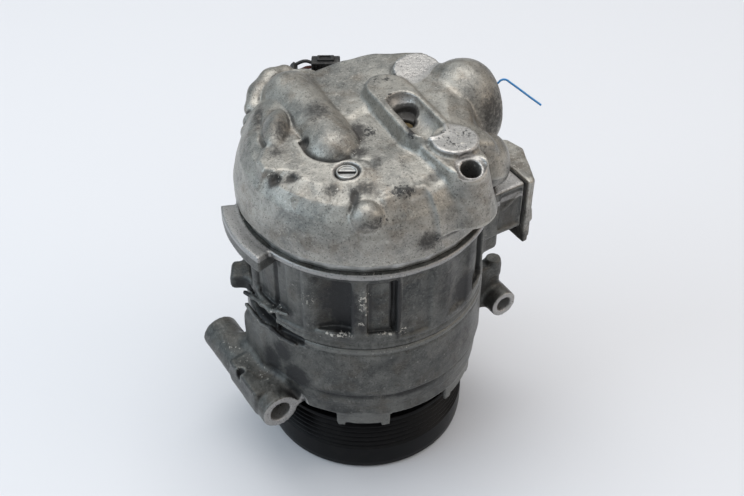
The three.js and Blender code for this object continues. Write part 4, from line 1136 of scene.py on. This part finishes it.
def cast_alloy(name, tones, dirt, metallic, seed, streaks=None):
    """Sand-cast aluminium: mottled skin, bright cut faces, edges brightened as wear and painted highlight,
    creases and dark spots of dirt, soot and painted shade, chips and pale crust.
    """
    pale, deep, brown, grime_and_shade = tones
    bright = tuple(min(1.0, c * 1.3 + 0.03) for c in pale)
    look = Look(name)
    broad = look.noise(30, 3, 0.6, seed=seed)
    mottle = look.noise(7, 5, 0.62, seed=seed + 1, warp=0.4)
    speck = look.noise(1.4, 4, 0.65, seed=seed + 2)
    pores = look.noise(0.8, 2, 0.5, seed=seed + 3)
    grain = look.noise(0.45, 2, 0.6, seed=seed + 4)
    crease, edge, soot_and_shade, chips, crust, machined = (
        look.attribute(mark_name) for mark_name in ("crease", "edge", "soot_and_shade", "chips", "crust", "machined"))

    cloud = look.plus(look.times(broad, 0.55), look.times(mottle, 0.45))
    colour = look.mix(look.step(cloud, 0.33, 0.64), deep, pale)
    if streaks:
        lines = look.noise(9, 4, 0.6, stretch=streaks, seed=seed + 5)
        colour = look.tint(colour, deep, look.step(lines, 0.42, 0.66), 0.4)
    film = look.noise(13, 4, 0.6, seed=seed + 8, warp=0.5)
    colour = look.tint(colour, brown, look.step(film, 0.46, 0.70), 0.55)
    bloom = look.noise(4.2, 6, 0.74, stretch=streaks, seed=seed + 9, warp=0.3)
    colour = look.tint(colour, bright, look.step(bloom, 0.54, 0.70), 0.45)
    colour = look.tint(colour, grime_and_shade, look.math("SUBTRACT", 1, look.step(bloom, 0.32, 0.47)), 0.5)
    colour = look.tint(colour, bright, look.step(speck, 0.50, 0.66), 0.3)
    # Convex edges brightened: partly wear, partly painted highlight.
    worn_and_highlit_edge = look.step(look.plus(edge, look.scale(mottle, -0.2, 0.2)), 0.16, 0.6)
    colour = look.tint(colour, bright, worn_and_highlit_edge, 0.5)
    cut = look.step(machined, 0.3, 0.8)
    colour = look.tint(colour, CUT_METAL, cut, 0.75)
    colour = look.tint(colour, grime_and_shade, look.step(pores, 0.56, 0.68), 0.55)

    patches = look.noise(2.6, 5, 0.7, seed=seed + 7)
    ragged = look.plus(look.scale(patches, -0.6, 0.6), look.scale(speck, -0.5, 0.5))
    # Creases and the dark spots take the darkest tone: partly dirt and soot, partly painted shade.
    crease_dirt_and_shade = look.step(look.plus(crease, look.times(ragged, 0.3)), 0.2, 0.62)
    smeared_soot_and_shade = look.step(look.plus(look.plus(soot_and_shade, dirt), ragged), 0.2, 0.95)
    dirt_and_painted_shade = look.math("MAXIMUM", look.times(crease_dirt_and_shade, 0.82), look.times(smeared_soot_and_shade, 0.96))
    colour = look.mix(dirt_and_painted_shade, colour, grime_and_shade)
    salt = look.plus(look.times(crust, 0.26), look.scale(speck, -0.6, 0.6))
    salt = look.step(look.plus(salt, look.scale(patches, -0.4, 0.4)), 0.26, 0.34)
    colour = look.tint(colour, CRUST, salt, 0.7)
    flakes = look.noise(2.4, 4, 0.7, seed=seed + 6)
    torn = look.step(look.plus(look.times(chips, 0.42), look.scale(flakes, -0.9, 0.9)), 0.34, 0.39)
    colour = look.tint(colour, BARE_PIT, torn, 0.92)

    roughness = look.plus(look.scale(mottle, 0.30, 0.48), look.times(dirt_and_painted_shade, 0.24))
    roughness = look.math("SUBTRACT", roughness, look.times(cut, 0.1), clamp=True)
    stains_and_shade = look.math("MAXIMUM", dirt_and_painted_shade, look.math("MAXIMUM", salt, torn))
    look.bumps((mottle, 0.26), (speck, 0.2), (grain, 0.09), (salt, 0.12), (torn, 0.15))
    return look.finish(colour, roughness, look.times(look.math("SUBTRACT", 1, stains_and_shade), metallic))


def plain_metal(name, colour, roughness, metallic, seed, tarnish=0.6):
    """Turned, ground or pressed metal with oil stains, its recesses darkened by oil and painted shade."""
    look = Look(name)
    stain = look.noise(7, 4, 0.6, seed=seed)
    fine = look.noise(0.9, 3, 0.6, seed=seed + 1)
    dark = tuple(c * tarnish for c in colour)
    tone = look.mix(look.step(stain, 0.35, 0.68), dark, colour)
    tone = look.tint(tone, dark, look.step(fine, 0.58, 0.7), 0.4)
    # Recesses darkened: partly oil, partly painted shade.
    recess_oil_and_shade = look.step(look.plus(look.attribute("crease"), look.scale(fine, -0.1, 0.1)), 0.45, 0.85)
    tone = look.tint(tone, RECESS_OIL_AND_SHADE, recess_oil_and_shade, 0.85)
    rough = look.plus(look.scale(stain, roughness - 0.08, roughness + 0.08), look.scale(fine, -0.05, 0.05))
    look.bumps((stain, 0.05), (fine, 0.03))
    clean = look.math("SUBTRACT", 1, look.times(recess_oil_and_shade, 0.8))
    return look.finish(tone, rough, look.times(clean, metallic))


def soft_stuff(name, colour, roughness, seed, dust=(0.22, 0.21, 0.19), amount=0.35, shine=0.4):
    """Rubber, plastic, paint or gasket with a film of dust."""
    look = Look(name)
    look.shader.inputs["Specular IOR Level"].default_value = shine
    cloud = look.noise(5, 4, 0.6, seed=seed)
    fine = look.noise(0.6, 3, 0.6, seed=seed + 1)
    cover = look.step(look.plus(cloud, look.scale(fine, -0.2, 0.2)), 0.45, 0.8)
    rough = look.plus(look.scale(cloud, roughness - 0.1, roughness + 0.1), look.scale(fine, -0.04, 0.04))
    look.bumps((cloud, 0.05), (fine, 0.04))
    return look.finish(look.tint(colour, dust, cover, amount), rough, 0.0)


HEAD_TONES = ((0.385, 0.37, 0.335), (0.165, 0.165, 0.155), (0.18, 0.145, 0.11), (0.024, 0.022, 0.02))
CASE_TONES = ((0.135, 0.135, 0.125), (0.030, 0.032, 0.032), (0.060, 0.048, 0.035), (0.006, 0.006, 0.007))
FAINT_DUST = (0.02, 0.019, 0.018)
BLUE_DUST = (0.12, 0.30, 0.50)


RECIPES = {
    "head_alloy": (cast_alloy, HEAD_TONES, -0.02, 0.72, 1),
    "case_alloy": (cast_alloy, CASE_TONES, 0.05, 0.6, 21, (1, 1, 0.45)),
    "steel": (plain_metal, (0.56, 0.56, 0.54), 0.38, 0.9, 41),
    "dark_steel": (plain_metal, (0.16, 0.16, 0.155), 0.45, 0.9, 51),
    "cast_iron": (plain_metal, (0.20, 0.195, 0.19), 0.55, 0.85, 61),
    "brass": (plain_metal, (0.16, 0.12, 0.06), 0.5, 0.8, 71),
    "piston_alloy": (plain_metal, (0.62, 0.62, 0.61), 0.35, 0.9, 111, 0.8),
    "pulley_paint": (soft_stuff, (0.003, 0.003, 0.0035), 0.34, 81, FAINT_DUST, 0.25, 0.12),
    "rubber": (soft_stuff, (0.012, 0.012, 0.012), 0.75, 91),
    "gasket": (soft_stuff, (0.02, 0.02, 0.019), 0.7, 101),
    "connector_plastic": (soft_stuff, (0.010, 0.010, 0.010), 0.5, 121),
    "black_insulation": (soft_stuff, (0.010, 0.010, 0.010), 0.5, 131),
    "red_insulation": (soft_stuff, (0.10, 0.025, 0.014), 0.5, 141),
    "blue_insulation": (soft_stuff, (0.045, 0.24, 0.56), 0.42, 151, BLUE_DUST, 0.5),
}


def make_materials():
    """Every material, by its slot in the record."""
    return {slot: make(slot, *values) for slot, (make, *values) in RECIPES.items()}


# ---- Assembly ------------------------------------------------------------------------------------
def dress(piece, slot, body, *nodes):
    """Gives a piece the material of its slot and the body it rides on, and hides the CAD nodes it stands
    for.
    """
    piece.data.materials.clear()
    piece.data.materials.append(MATERIALS[slot])
    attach(piece, body)
    if nodes:
        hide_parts(*nodes)
    return piece


def dress_frame():
    """Every CAD node that stays gets its record slot's material."""
    slot_of = {part["node"]: part["material_slot"] for part in frame["record"]["subparts"]}
    for name, piece in frame["nodes"].items():
        piece.data.materials.clear()
        piece.data.materials.append(MATERIALS[slot_of[name]])


def lead(name, route, radius):
    """A smooth round wire through the given points, as a curve object."""
    curve = bpy.data.curves.new(name, "CURVE")
    curve.dimensions = "3D"
    curve.bevel_depth = radius * MM
    curve.bevel_resolution = 4
    curve.resolution_u = 8
    curve.use_fill_caps = True
    spline = curve.splines.new("BEZIER")
    spline.bezier_points.add(len(route) - 1)
    for point, place in zip(spline.bezier_points, route):
        point.co = Vector(place) * MM
        point.handle_left_type = point.handle_right_type = "AUTO"
    return linked(bpy.data.objects.new(name, curve))


def blue_wire():
    """The loose blue lead: out of its hole, over its knee and down in one easy bend."""
    route = [
        WIRE_EXIT, (64.5, 39.3, 184.6), WIRE_KNEE, (69.6, 40, 189.3), (71.6, 40, 189.5), (74, 40, 187.8),
        (78.5, 40, 184.2), (84.7, 40, 179.1), (90.9, 40, 174.1),
    ]
    wire = dress(lead("blue_lead", route, 0.55), "blue_insulation", "housing", "blue_wire")


def valve_leads():
    """The two short leads from the control valve's boot to its plug."""
    black = [(-26.8, 66, 183.6), (-29.6, 66.2, 184.4), (-32, 66.2, 184), (-35, 66, 182.6)]
    red = [(-26.8, 66, 180.9), (-29.6, 66.2, 180.4), (-32, 66.2, 179.2), (-35, 66, 178.2)]
    dress(lead("black_lead", black, 0.9), "black_insulation", "housing", "black_wire")
    dress(lead("red_lead", red, 0.9), "red_insulation", "housing", "red_wire")


MATERIALS = make_materials()
make_camera()
blue_wire()
dress_frame()
CASTINGS_AND_FITTINGS = {
    rear_head: "head_alloy", cylinder_block: "case_alloy", front_housing: "case_alloy",
    muffler_cover: "head_alloy", muffler_gasket: "gasket", slotted_plug: "steel",
    wiring_connector: "connector_plastic", valve_solenoid: "connector_plastic",
}
DRIVE = {pulley: "pulley_paint", hub_damper: "rubber", hub_plate: "dark_steel", hub_bolt: "steel"}
for make, slot in CASTINGS_AND_FITTINGS.items():
    dress(make(), slot, "housing", make.__name__)
valve_leads()
for make, slot in DRIVE.items():
    dress(make(), slot, "rotating_group", make.__name__)
make_floor()
make_light()
